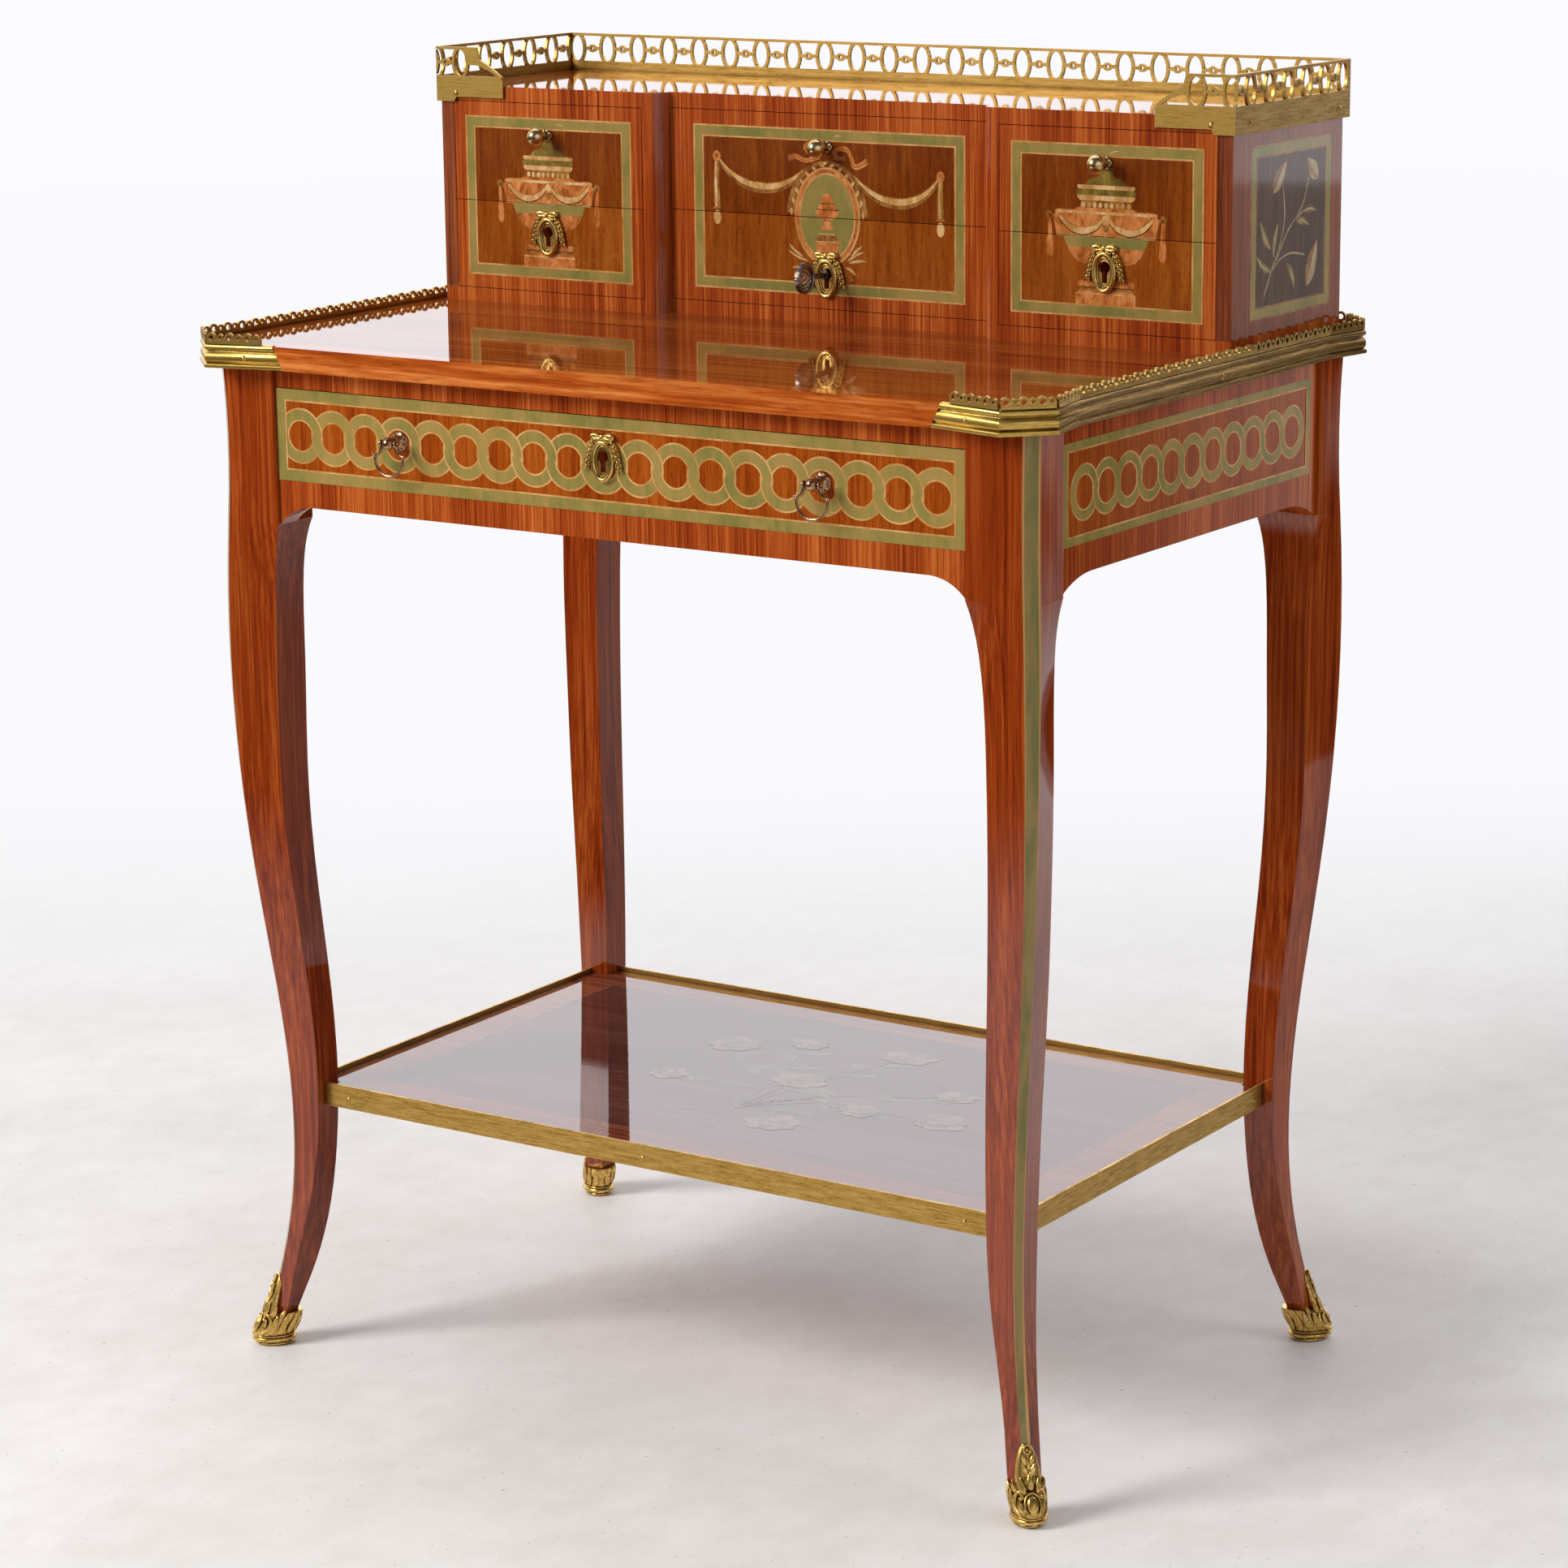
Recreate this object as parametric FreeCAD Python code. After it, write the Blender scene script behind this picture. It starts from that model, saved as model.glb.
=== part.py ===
"""Bonheur du jour: a small writing table on four cabriole legs.

One long drawer fills the front of the frieze.  A cabinet of six small drawers
stands on the rear of the top, and an undertier shelf ties the legs together.
Brass mouldings, pierced galleries, feet, knobs, drop handles and keyhole
plates finish it.

X runs to the right, Y to the back, Z up.  The origin is on the floor, under
the middle of the table.  Lengths are millimetres.
"""
import FreeCAD, Part
import math
import os

V = FreeCAD.Vector
UP = V(0, 0, 1)
RIGHT = V(1, 0, 0)
BACK = V(0, 1, 0)

# ---------------------------------------------------------------- clearances
JOINERY_GAP = 0.5        # around a drawer front in its opening
RUNNING_GAP = 0.4        # under and beside a drawer box
STOP_GAP = 0.6           # between a closed drawer and what stops it
PIN_GAP = 0.08           # round a turning pin, on the radius
FIT_GAP = 0.1            # round a dowel or nail, on the radius
SEAT_GAP = 0.3           # between the leg and what is shaped round it

# ---------------------------------------------------------------- table top
TOP_UNDERSIDE = 731.5    # height of the top's underside over the floor
TOP_THICK = 16.5
TOP_SIDE = 343.0         # half width at the straight sides
TOP_FRONT = 229.0        # half depth at the straight front and back
EAR_OUT_SIDE = 7.0       # the outset corners pass the sides by this much
EAR_OUT_FRONT = 14.0     # and the front and back by this much
EAR_CANT = 28.0          # corner cut of an outset corner
EAR_SIDE_RUN = 40.0      # length of the flare along the side
EAR_FRONT_RUN = 58.5     # length of the flare along the front
LIPPING_DEPTH = 18.0     # solid wood strip along the front edge
LIPPING_SLANT = 8.0      # its ends lean out by this much at the top
LEG_UNDER_SIDE = 11.0    # the leg posts stand inside the top's sides by this much
LEG_UNDER_FRONT = 12.0   # and inside its front and back by this much

# ---------------------------------------------------------------- legs
LEG_TOP = TOP_UNDERSIDE
LEG_SIDE = TOP_SIDE - LEG_UNDER_SIDE        # half width over the leg posts
LEG_FRONT = TOP_FRONT - LEG_UNDER_FRONT     # half depth over the leg posts
POST_WIDTH = 50.0        # post at the top, across the front
POST_DEPTH = 38.0        # post at the top, from front to back
POST_HEIGHT = 111.0      # the post ends this far below the top
CURVED_LEG = LEG_TOP - POST_HEIGHT          # height of the curved part of the leg
POST_CHAMFER = 8.5       # corner cut that carries the inlaid stripe
POST_FLARE = 2.0         # the post leans out by this much at its top
POST_FOOT_FLARE = 1.8    # and by this much at its bottom
POST_WAIST = 45.0        # depth under the top where the post is slimmest
POST_WAIST_IN = 0.6      # how far the outer corner comes in there
LEG_END = 5.0            # the wood stops this high, inside the brass foot
FOOT_LEAN = 1.5          # the foot stands this far outwards, off the leg's diagonal

# Stations down the curved leg: share of its height, reach of the outer corner
# past the post's faces, width across the front, width across the side, how far
# each outer face turns back at its inner edge, how far the inner corner stands
# out past the two inner edges, and the corner cut.
LEG_STATIONS = [
    (0.9371, 2.9, 45.0, 38.5, 7.5, 0.0, 8.0),
    (0.8324, 2.8, 41.3, 41.0, 9.3, 0.0, 7.0),
    (0.7035, -0.4, 37.3, 37.3, 6.9, 0.0, 6.0),
    (0.5745, -6.8, 34.0, 34.0, 4.8, -0.5, 5.2),
    (0.4456, -14.8, 31.5, 31.5, 4.2, -1.0, 5.1),
    (0.3247, -20.3, 28.2, 28.2, 3.0, -1.0, 5.1),
    (0.2361, -20.8, 24.4, 24.4, 1.8, 0.3, 5.1),
    (0.1555, -17.5, 19.0, 19.0, 0.4, 3.7, 5.0),
    (0.0830, -11.0, 17.0, 17.0, 0.3, 2.3, 4.6),
]
# The same at the leg's end, inside the brass foot.
LEG_END_STATION = (-4.0, 13.0, 13.0, 0.3, 0.8, 3.5)
LEG_NARROW = 0.2361      # share of the height where the leg is slimmest

# ---------------------------------------------------------------- brass feet
# Rings up the foot: height, place of its centre out along the diagonal from
# the post's outer corner, half length out along it, and half width across it.
FOOT_RINGS = [
    (0.0, -14.5, 11.0, 8.0),
    (3.0, -14.1, 13.6, 10.0),
    (8.5, -13.1, 15.3, 11.3),
    (16.0, -17.0, 14.6, 11.3),
    (25.0, -20.5, 14.4, 11.3),
]
# The leaf that climbs the outer corner of the leg, in the same terms.
LEAF_RINGS = [
    (21.0, -12.5, 6.0, 10.0),
    (30.0, -14.0, 4.5, 9.0),
    (43.0, -17.5, 3.5, 7.0),
    (53.0, -20.0, 2.5, 3.0),
]

# ---------------------------------------------------------------- frieze
APRON_DEPTH = 97.5       # front and back boards, from the top to their flat lower edge
SIDE_DEPTH = 99.5        # the same on the sides
TIP_DEPTH = 111.5        # and where they meet the legs
APRON_CURVE = 30.0       # length of the rounded corner of that edge
SIDE_CURVE = 42.0        # the same on the sides
APRON_THICK = 18.0
APRON_SET_BACK = 2.5     # frieze face behind the post face
RAIL_THICK = 14.0        # rail over the long drawer
RAIL_DEPTH = 24.0
RUNNER_THICK = 10.0      # what the long drawer slides on
RUNNER_RISE = 0.5        # bearer's underside over the frieze's lower edge
RUNNER_WIDTH = 18.0      # bearing width under the drawer side
KICKER_THICK = 22.0      # what keeps the open drawer from tipping
KICKER_WIDTH = 20.0

# ---------------------------------------------------------------- moulding and ring gallery
MOULDING_WIDTH = 5.0
# Moulding members: bottom and top height over the underside, and set back.
MOULDING_MEMBERS = [
    (0.0, 3.6, 0.0),
    (3.6, 11.6, 1.2),
    (11.6, 12.6, 2.2),
    (12.6, TOP_THICK + 0.5, 0.8),
]
RING_PITCH = 14.4        # one large and one small ring
LARGE_RING = 3.7         # outer radius
LARGE_HOLE = 1.9
SMALL_RING = 2.7
SMALL_HOLE = 1.3
RING_CENTRE = 4.3        # height of the ring centres on the strip
RING_STRIP_THICK = 1.8
RING_STRIP_INSET = 1.2   # behind the moulding's outer line
STRIP_END_GAP = 0.3      # between one strip and the next

# ---------------------------------------------------------------- shelf
SHELF_TOP = 198.0
SHELF_THICK = 12.0
SHELF_INSET = 31.5       # brass edging of the shelf inside the post faces
SHELF_SIDE = LEG_SIDE - SHELF_INSET         # half width over the brass edging
SHELF_FRONT = LEG_FRONT - SHELF_INSET       # half depth over the brass edging
EDGING_RISE = 4.0        # edging over the shelf's surface
EDGING_HEIGHT = 17.0
EDGING_THICK = 1.8
DOWEL_RADIUS = 3.0
DOWEL_LENGTH = 26.0
DOWEL_IN_LEG = 11.0

# ---------------------------------------------------------------- cabinet
CABINET_SIDE_INSET = 12.0                   # cabinet inside the top's sides
CABINET_BACK_INSET = 20.5                   # and inside its back
CABINET_DEPTH = 161.5
CABINET_SIDE = TOP_SIDE - CABINET_SIDE_INSET
CABINET_BACK = TOP_FRONT - CABINET_BACK_INSET
CABINET_FRONT = CABINET_BACK - CABINET_DEPTH    # front plane of the side blocks
TOP_OVERHANG = 3.5       # the top board reaches this far past the back
RECESS = 14.5            # set back of the middle bay
BASE_THICK = 10.0
CABINET_HEIGHT = 159.5
TOP_BOARD = 11.0
SIDE_THICK = 11.5
PARTITION_OUT = 149.5    # outer face of a partition, from the middle
PARTITION_THICK = 15.0
PARTITION_IN = PARTITION_OUT - PARTITION_THICK
PARTITION_ROUND = 12.0
BACK_THICK = 6.0
LOWER_ROW = 75.3         # from the table top to the line between the two drawer rows
DUST_THICK = 6.0

# ---------------------------------------------------------------- cabinet brass
BAND_RISE = 5.0          # band over the cabinet's top board
BAND_WIDTH = 17.0
BAND_THICK = 2.5
BAND_RETURN = 61.0       # length of the band round the front corner
BAND_RETURN_WIDTH = 13.5 # width of the return past its deeper corner
BAND_DROP = 16.0         # width of the deeper part at the corner
GALLERY_HEIGHT = 23.0
GALLERY_THICK = 2.2
GALLERY_RAIL = 2.0
GALLERY_PITCH = 28.0     # near this, as the run's length allows
OVAL_HALF_WIDTH = 7.6    # outside of an oval
OVAL_WALL = 2.1
EYE_RADIUS = 3.0         # the little ring between two ovals
EYE_HOLE = 1.3
WEB_HALF = 1.3
BAY_SWELL = 0.55         # height at which a bay's side is struck, over its whole height
BACK_OVAL_INSET = 7.4    # middle of a run's last oval inside its end: at the back
FRONT_OVAL_RIGHT = -6.5  # at the front end of the right run
REAR_OVAL_RIGHT = 7.8    # at its rear end
FRONT_OVAL_LEFT = -1.2   # and the same on the left run
REAR_OVAL_LEFT = -3.7
RETURN_RAIL = 37.0       # straight top of the return, from the corner
RETURN_LEAF = 14.0       # height of the leaf that ends the return
LEAF_RUN = 3.0           # the leaf begins this far past the rail's end
LEAF_TIP = 2.0           # height of its far end
LEAF_SAG = 0.62          # its middle's height over its root's
LEAF_WALL = 3.0          # what is left of the leaf over the opening under it
RETURN_OVALS_RIGHT = (29.7, 2.6)     # ovals of the right return, from the corner
RETURN_OVALS_LEFT = (22.2, -5.3)     # ovals of the left return, from the corner

# ---------------------------------------------------------------- drawers
FRONT_THICK = 15.0
SMALL_SIDE_THICK = 8.0
SMALL_BOTTOM = 5.0
SMALL_BACK_GAP = 1.0     # what is left behind a small drawer
UPPER_BOX_BELOW = 6.0    # upper drawer sides under the cabinet's top board
LONG_FRONT_THICK = 18.0
LONG_SIDE_THICK = 12.0
LONG_BOTTOM = 7.0
KICKER_GAP = 1.0         # between the long drawer's sides and the kicker
LONG_BOX_INSET = 15.0    # drawer side inside the opening

# ---------------------------------------------------------------- fittings
KNOB_DROP = 23.0         # knob under the cabinet's top board
KNOB_BALL = 6.7
KNOB_REACH = 14.0        # ball centre in front of the drawer face
KNOB_NECK = 2.2
KNOB_FLANGE = 4.5
KNOB_COLLAR = 3.4        # radius of the ring behind the ball
KNOB_COLLAR_LENGTH = 1.6
KNOB_FLANGE_THICK = 2.0
SHANK_RADIUS = 1.6
SHANK_LENGTH = 10.0

SIDE_KEYHOLE_DROP = 20.8     # keyhole's round part under the line between the rows
MIDDLE_KEYHOLE_DROP = 39.8
LONG_KEYHOLE_DROP = 27.0     # under the rail
KEYHOLE_RADIUS = 4.2
KEYHOLE_SLOT = 2.0       # half width of the slot below the round part
KEYHOLE_DROP = 10.5
PLATE_HALF_WIDTH = 9.5
PLATE_HALF_HEIGHT = 14.5
PLATE_THICK = 2.0
PLATE_RIM = 2.2          # width of the raised rim
PLATE_RIM_RISE = 1.6
PLATE_BELOW_KEYHOLE = 3.0
TRIM_RISE = 0.6          # garlands and bow stand this far over the plate
GARLAND_RISE = 2.0       # garland's middle over the plate's middle
GARLAND_OFFSET = 12.0
GARLAND_HALF_WIDTH = 4.0
GARLAND_HALF_HEIGHT = 10.0
BOW_RISE = 15.0
BOW_HALF_WIDTH = 10.0
BOW_HALF_HEIGHT = 4.0

LOCK_HALF_WIDTH = 16.0
LOCK_DEPTH = 9.0
LOCK_WALL = 1.5
LOCK_BELOW_KEYHOLE = 12.0
LOCK_TO_DIVIDER = 3.0    # lock top under the board that the bolt enters
MORTISE_GAP = 1.0        # round the bolt in the board or rail that it enters
MORTISE_LID = 1.5        # wood left over a mortise
BOLT_HALF_WIDTH = 7.0
BOLT_HALF_THICK = 1.8
BOLT_THROW = 6.0
BOLT_GAP = 0.3
DRILL_PIN = 1.1

KEY_SHAFT = 2.1
KEY_OUT = 20.0           # shaft in front of the drawer face
KEY_COLLAR = 3.5         # radius of the collar
KEY_COLLAR_OUT = 6.0     # its front, before the drawer face
KEY_COLLAR_LENGTH = 2.2
BIT_REACH = 6.6          # from the shaft's axis
BIT_LENGTH = 3.2
BIT_HALF_THICK = 1.1
BOW_LENGTH = 22.0
BOW_RADIUS = 11.0
BOW_THICK = 3.0
BOW_WALL = 3.0
BOW_ROOT = 1.0           # the shaft's end runs this far into the bow

HANDLE_X = 173.0
HANDLE_DROP = 30.0       # pivot of the drop handles, under the rail
POST_RADIUS = 3.4
POST_HEAD = 4.6
POST_REACH = 12.5        # pivot in front of the drawer face
ROSETTE_RADIUS = 7.0
ROSETTE_THICK = 2.0
PIVOT_RADIUS = 1.0
PIVOT_HALF = 7.2
BAIL_WIRE = 1.1          # radius
BAIL_EYE = 2.6
BAIL_ARM_X = 6.0         # arms from the middle
BAIL_CUSP_X = 12.0
BAIL_CUSP_DROP = 9.0
BAIL_DROP = 23.0
BAIL_EYE_HALF = 0.9      # half thickness of an eye
HORN_OUT = 1.2           # a horn's tip past the cusp, outwards
HORN_UP = 0.8            # and upwards
ARM_BEND = 5.0           # depth under the pivot where an arm turns outwards
ARM_START = 1.8          # depth where it leaves its eye
ARM_SPREAD = 0.4         # how far it has spread at the bend
EYE_CLEAR = 2.0          # the eyes are bored this far past the pin's ends

NAIL_HEAD = 2.3
NAIL_RISE = 1.2
NAIL_SHANK = 0.8
NAIL_LENGTH = 11.0
BAND_NAIL_FRONT = 20.0   # from the cabinet's front plane
BAND_NAIL_BACK = 14.0    # from the inside of the back band
RETURN_NAIL = 18.0       # from the corner of the band
BACK_NAIL = 80.0
TOP_SIDE_NAIL = 15.0     # behind the middle of the side
TOP_BACK_NAIL = 150.0    # either side of the middle
EAR_NAIL = 30.0          # from the lipping's end
SHELF_NAIL_INSET = 38.5  # from the shelf's end
SHELF_NAIL_DEPTH_INSET = 29.5
CUTTER = 30.0            # how far a cutting tool reaches past what it cuts


# ---------------------------------------------------------------- worked out
EAR_SIDE = TOP_SIDE + EAR_OUT_SIDE           # half width over the outset corners
EAR_FRONT = TOP_FRONT + EAR_OUT_FRONT        # half depth over the outset corners
TOP_SURFACE = TOP_UNDERSIDE + TOP_THICK
APRON_FLAT = LEG_TOP - APRON_DEPTH
SIDE_FLAT = LEG_TOP - SIDE_DEPTH
APRON_TIP = LEG_TOP - TIP_DEPTH
RAIL_BOTTOM = LEG_TOP - RAIL_THICK
KICKER_BOTTOM = LEG_TOP - KICKER_THICK
RUNNER_TOP = APRON_FLAT + RUNNER_RISE + RUNNER_THICK
LONG_BOX_TOP = KICKER_BOTTOM - KICKER_GAP
LONG_KEYHOLE = RAIL_BOTTOM - LONG_KEYHOLE_DROP
HANDLE_Z = RAIL_BOTTOM - HANDLE_DROP
EDGING_TOP = SHELF_TOP + EDGING_RISE
CABINET_TOP = TOP_SURFACE + CABINET_HEIGHT
SPLIT = TOP_SURFACE + LOWER_ROW              # height of the line between the drawer rows
SIDE_KEYHOLE = SPLIT - SIDE_KEYHOLE_DROP
MIDDLE_KEYHOLE = SPLIT - MIDDLE_KEYHOLE_DROP
KNOB_HEIGHT = CABINET_TOP - TOP_BOARD - KNOB_DROP
BAND_TOP = CABINET_TOP + BAND_RISE
BAND_BOTTOM = BAND_TOP - BAND_WIDTH
BAND_RETURN_BOTTOM = BAND_TOP - BAND_RETURN_WIDTH
GALLERY_TOP = BAND_TOP + GALLERY_HEIGHT
BAND_BACK = CABINET_BACK + TOP_OVERHANG      # inner face of the brass along the back
OPENING_HALF = LEG_SIDE - POST_WIDTH         # half width of the long drawer's opening
POST_INNER = LEG_FRONT - POST_DEPTH          # inner face of a post, from front to back
FRIEZE_FRONT = LEG_FRONT - APRON_SET_BACK
FRIEZE_SIDE = LEG_SIDE - APRON_SET_BACK
SQRT2 = math.sqrt(2.0)


# ---------------------------------------------------------------- helpers
def box(x0, x1, y0, y1, z0, z1):
    """A block between six planes."""
    return Part.makeBox(x1 - x0, y1 - y0, z1 - z0, V(x0, y0, z0))


def prism(points, rise):
    """A flat polygon pushed along a vector."""
    wire = Part.makePolygon([V(*p) for p in points] + [V(*points[0])])
    return Part.Face(wire).extrude(rise)


def slab(points, z0, z1):
    """A plan outline between two heights."""
    return prism([(x, y, z0) for x, y in points], UP * (z1 - z0))


def rod(start, axis, radius, length):
    """A round bar from a point along an axis."""
    return Part.makeCylinder(radius, length, start, axis)


def fuse(shapes):
    """One solid from touching or crossing shapes."""
    whole = shapes[0].multiFuse(shapes[1:]).removeSplitter()
    return whole.Solids[0] if len(whole.Solids) == 1 else whole


def cut(shape, tools):
    """The shape without the tools."""
    rest = shape.cut(Part.makeCompound(tools))
    return rest.Solids[0] if len(rest.Solids) == 1 else rest


def mirrored(shape):
    """The same piece on the other side of the table."""
    return shape.mirror(V(0, 0, 0), RIGHT)


def turned_back(shape):
    """The same piece at the back of the table."""
    return shape.mirror(V(0, 0, 0), BACK)


def ellipse_wire(centre, half_x, half_y, angle=0.0, normal=UP):
    """A closed oval; half_x lies along X before it is turned about its normal."""
    flat = Part.Ellipse(V(0, 0, 0), max(half_x, half_y), min(half_x, half_y))
    wire = Part.Wire(flat.toShape())
    if half_y > half_x:
        wire.rotate(V(0, 0, 0), UP, 90)
    wire.rotate(V(0, 0, 0), UP, angle)
    wire.Placement = FreeCAD.Placement(
        centre, FreeCAD.Rotation(UP, normal)).multiply(wire.Placement)
    return wire


def upright_oval(x, y, z, half_width, half_height):
    """An oval standing in a plane that faces the front."""
    flat = Part.Ellipse(V(0, 0, 0), max(half_width, half_height), min(half_width, half_height))
    wire = Part.Wire(flat.toShape())
    if half_height > half_width:
        wire.rotate(V(0, 0, 0), UP, 90)
    wire.rotate(V(0, 0, 0), RIGHT, 90)
    wire.translate(V(x, y, z))
    return wire


def save(name, solids):
    """Write one node, a single solid or a group of like ones."""
    group = solids if isinstance(solids, list) else [solids]
    shape = group[0] if len(group) == 1 else Part.makeCompound(group)
    shape.exportStep("parts/%s.step" % name)


# ---------------------------------------------------------------- legs and feet
def splay(z):
    """How far the leg stands off its diagonal at a height."""
    return FOOT_LEAN * max(0.0, 1 - z / (LEG_NARROW * CURVED_LEG))


def leg_section(z, reach, front_width, side_width, turn_back, inner, chamfer, grow=0.0):
    """Outline of the front right leg at one height, going round from the front."""
    x = LEG_SIDE + reach + grow + splay(z)
    y = LEG_FRONT + reach + grow - splay(z)
    front_width += 2 * grow
    side_width += 2 * grow
    return Part.makePolygon([
        V(x - front_width, -(y - turn_back), z),
        V(x - chamfer, -y, z),
        V(x, -(y - chamfer), z),
        V(x - turn_back, -(y - side_width), z),
        V(x - front_width - inner, -(y - side_width - inner), z),
        V(x - front_width, -(y - turn_back), z),
    ])


def post_section(z, reach, grow=0.0):
    """Outline of the post: its inner faces stay where the frieze needs them."""
    return leg_section(z, reach, POST_WIDTH + reach, POST_DEPTH + reach, reach, 0.0,
                       POST_CHAMFER, grow)


def curved_leg(grow=0.0):
    """The leg below its post, larger all round when it is used to hollow the foot."""
    sections = [post_section(CURVED_LEG, POST_FOOT_FLARE, grow)]
    sections += [leg_section(share * CURVED_LEG, *sizes, grow=grow)
                 for share, *sizes in LEG_STATIONS]
    sections.append(leg_section(LEG_END, *LEG_END_STATION, grow=grow))
    return Part.makeLoft(sections, True, False)


def leg_solid():
    """The front right leg from inside its brass foot to the table top."""
    post = Part.makeLoft([
        post_section(CURVED_LEG, POST_FOOT_FLARE),
        post_section(LEG_TOP - POST_WAIST, POST_WAIST_IN),
        post_section(LEG_TOP, POST_FLARE)], True, False)
    return fuse([post, curved_leg()])


def diagonal(out, across=0.0):
    """A plan point by its place out along, and across, the leg's diagonal."""
    return V(LEG_SIDE + (out + across) / SQRT2, -LEG_FRONT - (out - across) / SQRT2, 0)


def diagonal_loft(rings):
    """A smooth body through ovals that lie across the leg's diagonal."""
    wires = []
    for z, centre, half_out, half_across in rings:
        place = diagonal(centre, splay(z) * SQRT2) + UP * z
        wires.append(ellipse_wire(place, half_out, half_across, -45))
    return Part.makeLoft(wires, True, False)


def foot_solid():
    """Cast foot with a leaf that climbs the outer corner of the leg."""
    body = diagonal_loft(FOOT_RINGS).fuse(diagonal_loft(LEAF_RINGS))
    body = body.cut(curved_leg(SEAT_GAP))
    below_leg = [s for s in body.Solids if s.BoundBox.ZMin < LEG_END]
    return below_leg[0]


def four_corners(shape):
    """Front left, front right, rear left and rear right copies of a corner piece."""
    return {"front_left": mirrored(shape), "front_right": shape,
            "rear_left": mirrored(turned_back(shape)), "rear_right": turned_back(shape)}


def dowel_start():
    """Where the shelf's dowel begins, inside the front right leg."""
    _, reach, front_width, side_width, _, inner, _ = station_at_shelf()
    corner = V(LEG_SIDE + reach - front_width - inner, -(LEG_FRONT + reach - side_width - inner), 0)
    inward = V(-1, 1, 0).normalize()
    return corner - inward * DOWEL_IN_LEG + UP * (SHELF_TOP - SHELF_THICK / 2), inward


def station_at_shelf():
    """The leg station nearest to the shelf."""
    return min(LEG_STATIONS, key=lambda station: abs(station[0] * CURVED_LEG - SHELF_TOP))


def make_legs():
    start, inward = dowel_start()
    hole = rod(start, inward, DOWEL_RADIUS + FIT_GAP, DOWEL_LENGTH)
    leg = cut(leg_solid(), [hole])
    for corner, solid in four_corners(leg).items():
        save("leg_" + corner, solid)
    save("sabots", list(four_corners(foot_solid()).values()))


# ---------------------------------------------------------------- frieze
def apron_outline(half, curve, flat, top, gap=0.0):
    """Frieze board seen square on: a flat bottom edge that curves down to the legs."""
    drop = flat - APRON_TIP
    turn = math.atan2(drop, curve)
    radius = drop / (1 - math.cos(2 * turn))
    flat_end, tip = half - curve, half - gap
    bend = V(flat_end + radius * math.sin(turn), 0, flat - radius * (1 - math.cos(turn)))
    right = Part.Arc(V(tip, 0, APRON_TIP), bend, V(flat_end, 0, flat)).toShape()
    left = Part.Arc(V(-flat_end, 0, flat), V(-bend.x, 0, bend.z), V(-tip, 0, APRON_TIP)).toShape()
    bottom = Part.makeLine(V(flat_end, 0, flat), V(-flat_end, 0, flat))
    rest = Part.makePolygon([V(-tip, 0, APRON_TIP), V(-tip, 0, top), V(tip, 0, top),
                             V(tip, 0, APRON_TIP)])
    return Part.Wire([right, bottom, left] + rest.Edges)


def front_board(wire, y, thick):
    """A board that faces the front, from a square-on outline."""
    board = Part.Face(wire).extrude(BACK * thick)
    board.translate(BACK * y)
    return board


def make_frieze():
    side = front_board(apron_outline(POST_INNER, SIDE_CURVE, SIDE_FLAT, LEG_TOP), 0, APRON_THICK)
    side.rotate(V(0, 0, 0), UP, 90)
    side.translate(RIGHT * FRIEZE_SIDE)
    save("apron_right", side)
    save("apron_left", mirrored(side))
    back = front_board(apron_outline(OPENING_HALF, APRON_CURVE, APRON_FLAT, LEG_TOP),
                       FRIEZE_FRONT - APRON_THICK, APRON_THICK)
    save("apron_back", back)
    save("front_top_rail", long_rail())
    save("drawer_runners", runners())


def long_rail():
    """Rail over the long drawer; its underside is cut for the drawer's bolt."""
    rail = box(-OPENING_HALF, OPENING_HALF, -FRIEZE_FRONT, -FRIEZE_FRONT + RAIL_DEPTH,
               RAIL_BOTTOM, LEG_TOP)
    front_face = -FRIEZE_FRONT + LONG_FRONT_THICK
    middle = front_face + LOCK_DEPTH / 2
    notch = box(-BOLT_HALF_WIDTH - MORTISE_GAP, BOLT_HALF_WIDTH + MORTISE_GAP,
                middle - BOLT_HALF_THICK - MORTISE_GAP, middle + BOLT_HALF_THICK + MORTISE_GAP,
                RAIL_BOTTOM, RAIL_BOTTOM + BOLT_THROW)
    return cut(rail, [notch])


def runners():
    """Bearer, side guide and kicker for each side of the long drawer."""
    wall = FRIEZE_SIDE - APRON_THICK
    box_side = OPENING_HALF - LONG_BOX_INSET
    bearer = box(box_side - RUNNER_WIDTH, wall, -POST_INNER, POST_INNER,
                 RUNNER_TOP - RUNNER_THICK, RUNNER_TOP)
    guide = box(box_side + RUNNING_GAP, wall, -POST_INNER, POST_INNER,
                RUNNER_TOP, RUNNER_TOP + RUNNER_THICK)
    kicker = box(box_side - KICKER_WIDTH, wall, -POST_INNER, POST_INNER,
                 KICKER_BOTTOM, LEG_TOP)
    right = [bearer, guide, kicker]
    return right + [mirrored(piece) for piece in right]


# ---------------------------------------------------------------- table top
def top_outline():
    """Half of the top's outer line, from the front lipping round to the back."""
    flare_start = EAR_SIDE - EAR_CANT - EAR_FRONT_RUN
    ear_end = EAR_FRONT - EAR_CANT
    front = [(flare_start, -TOP_FRONT), (EAR_SIDE - EAR_CANT, -EAR_FRONT),
             (EAR_SIDE, -ear_end), (TOP_SIDE, -ear_end + EAR_SIDE_RUN)]
    return front + [(x, -y) for x, y in reversed(front)]


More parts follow.
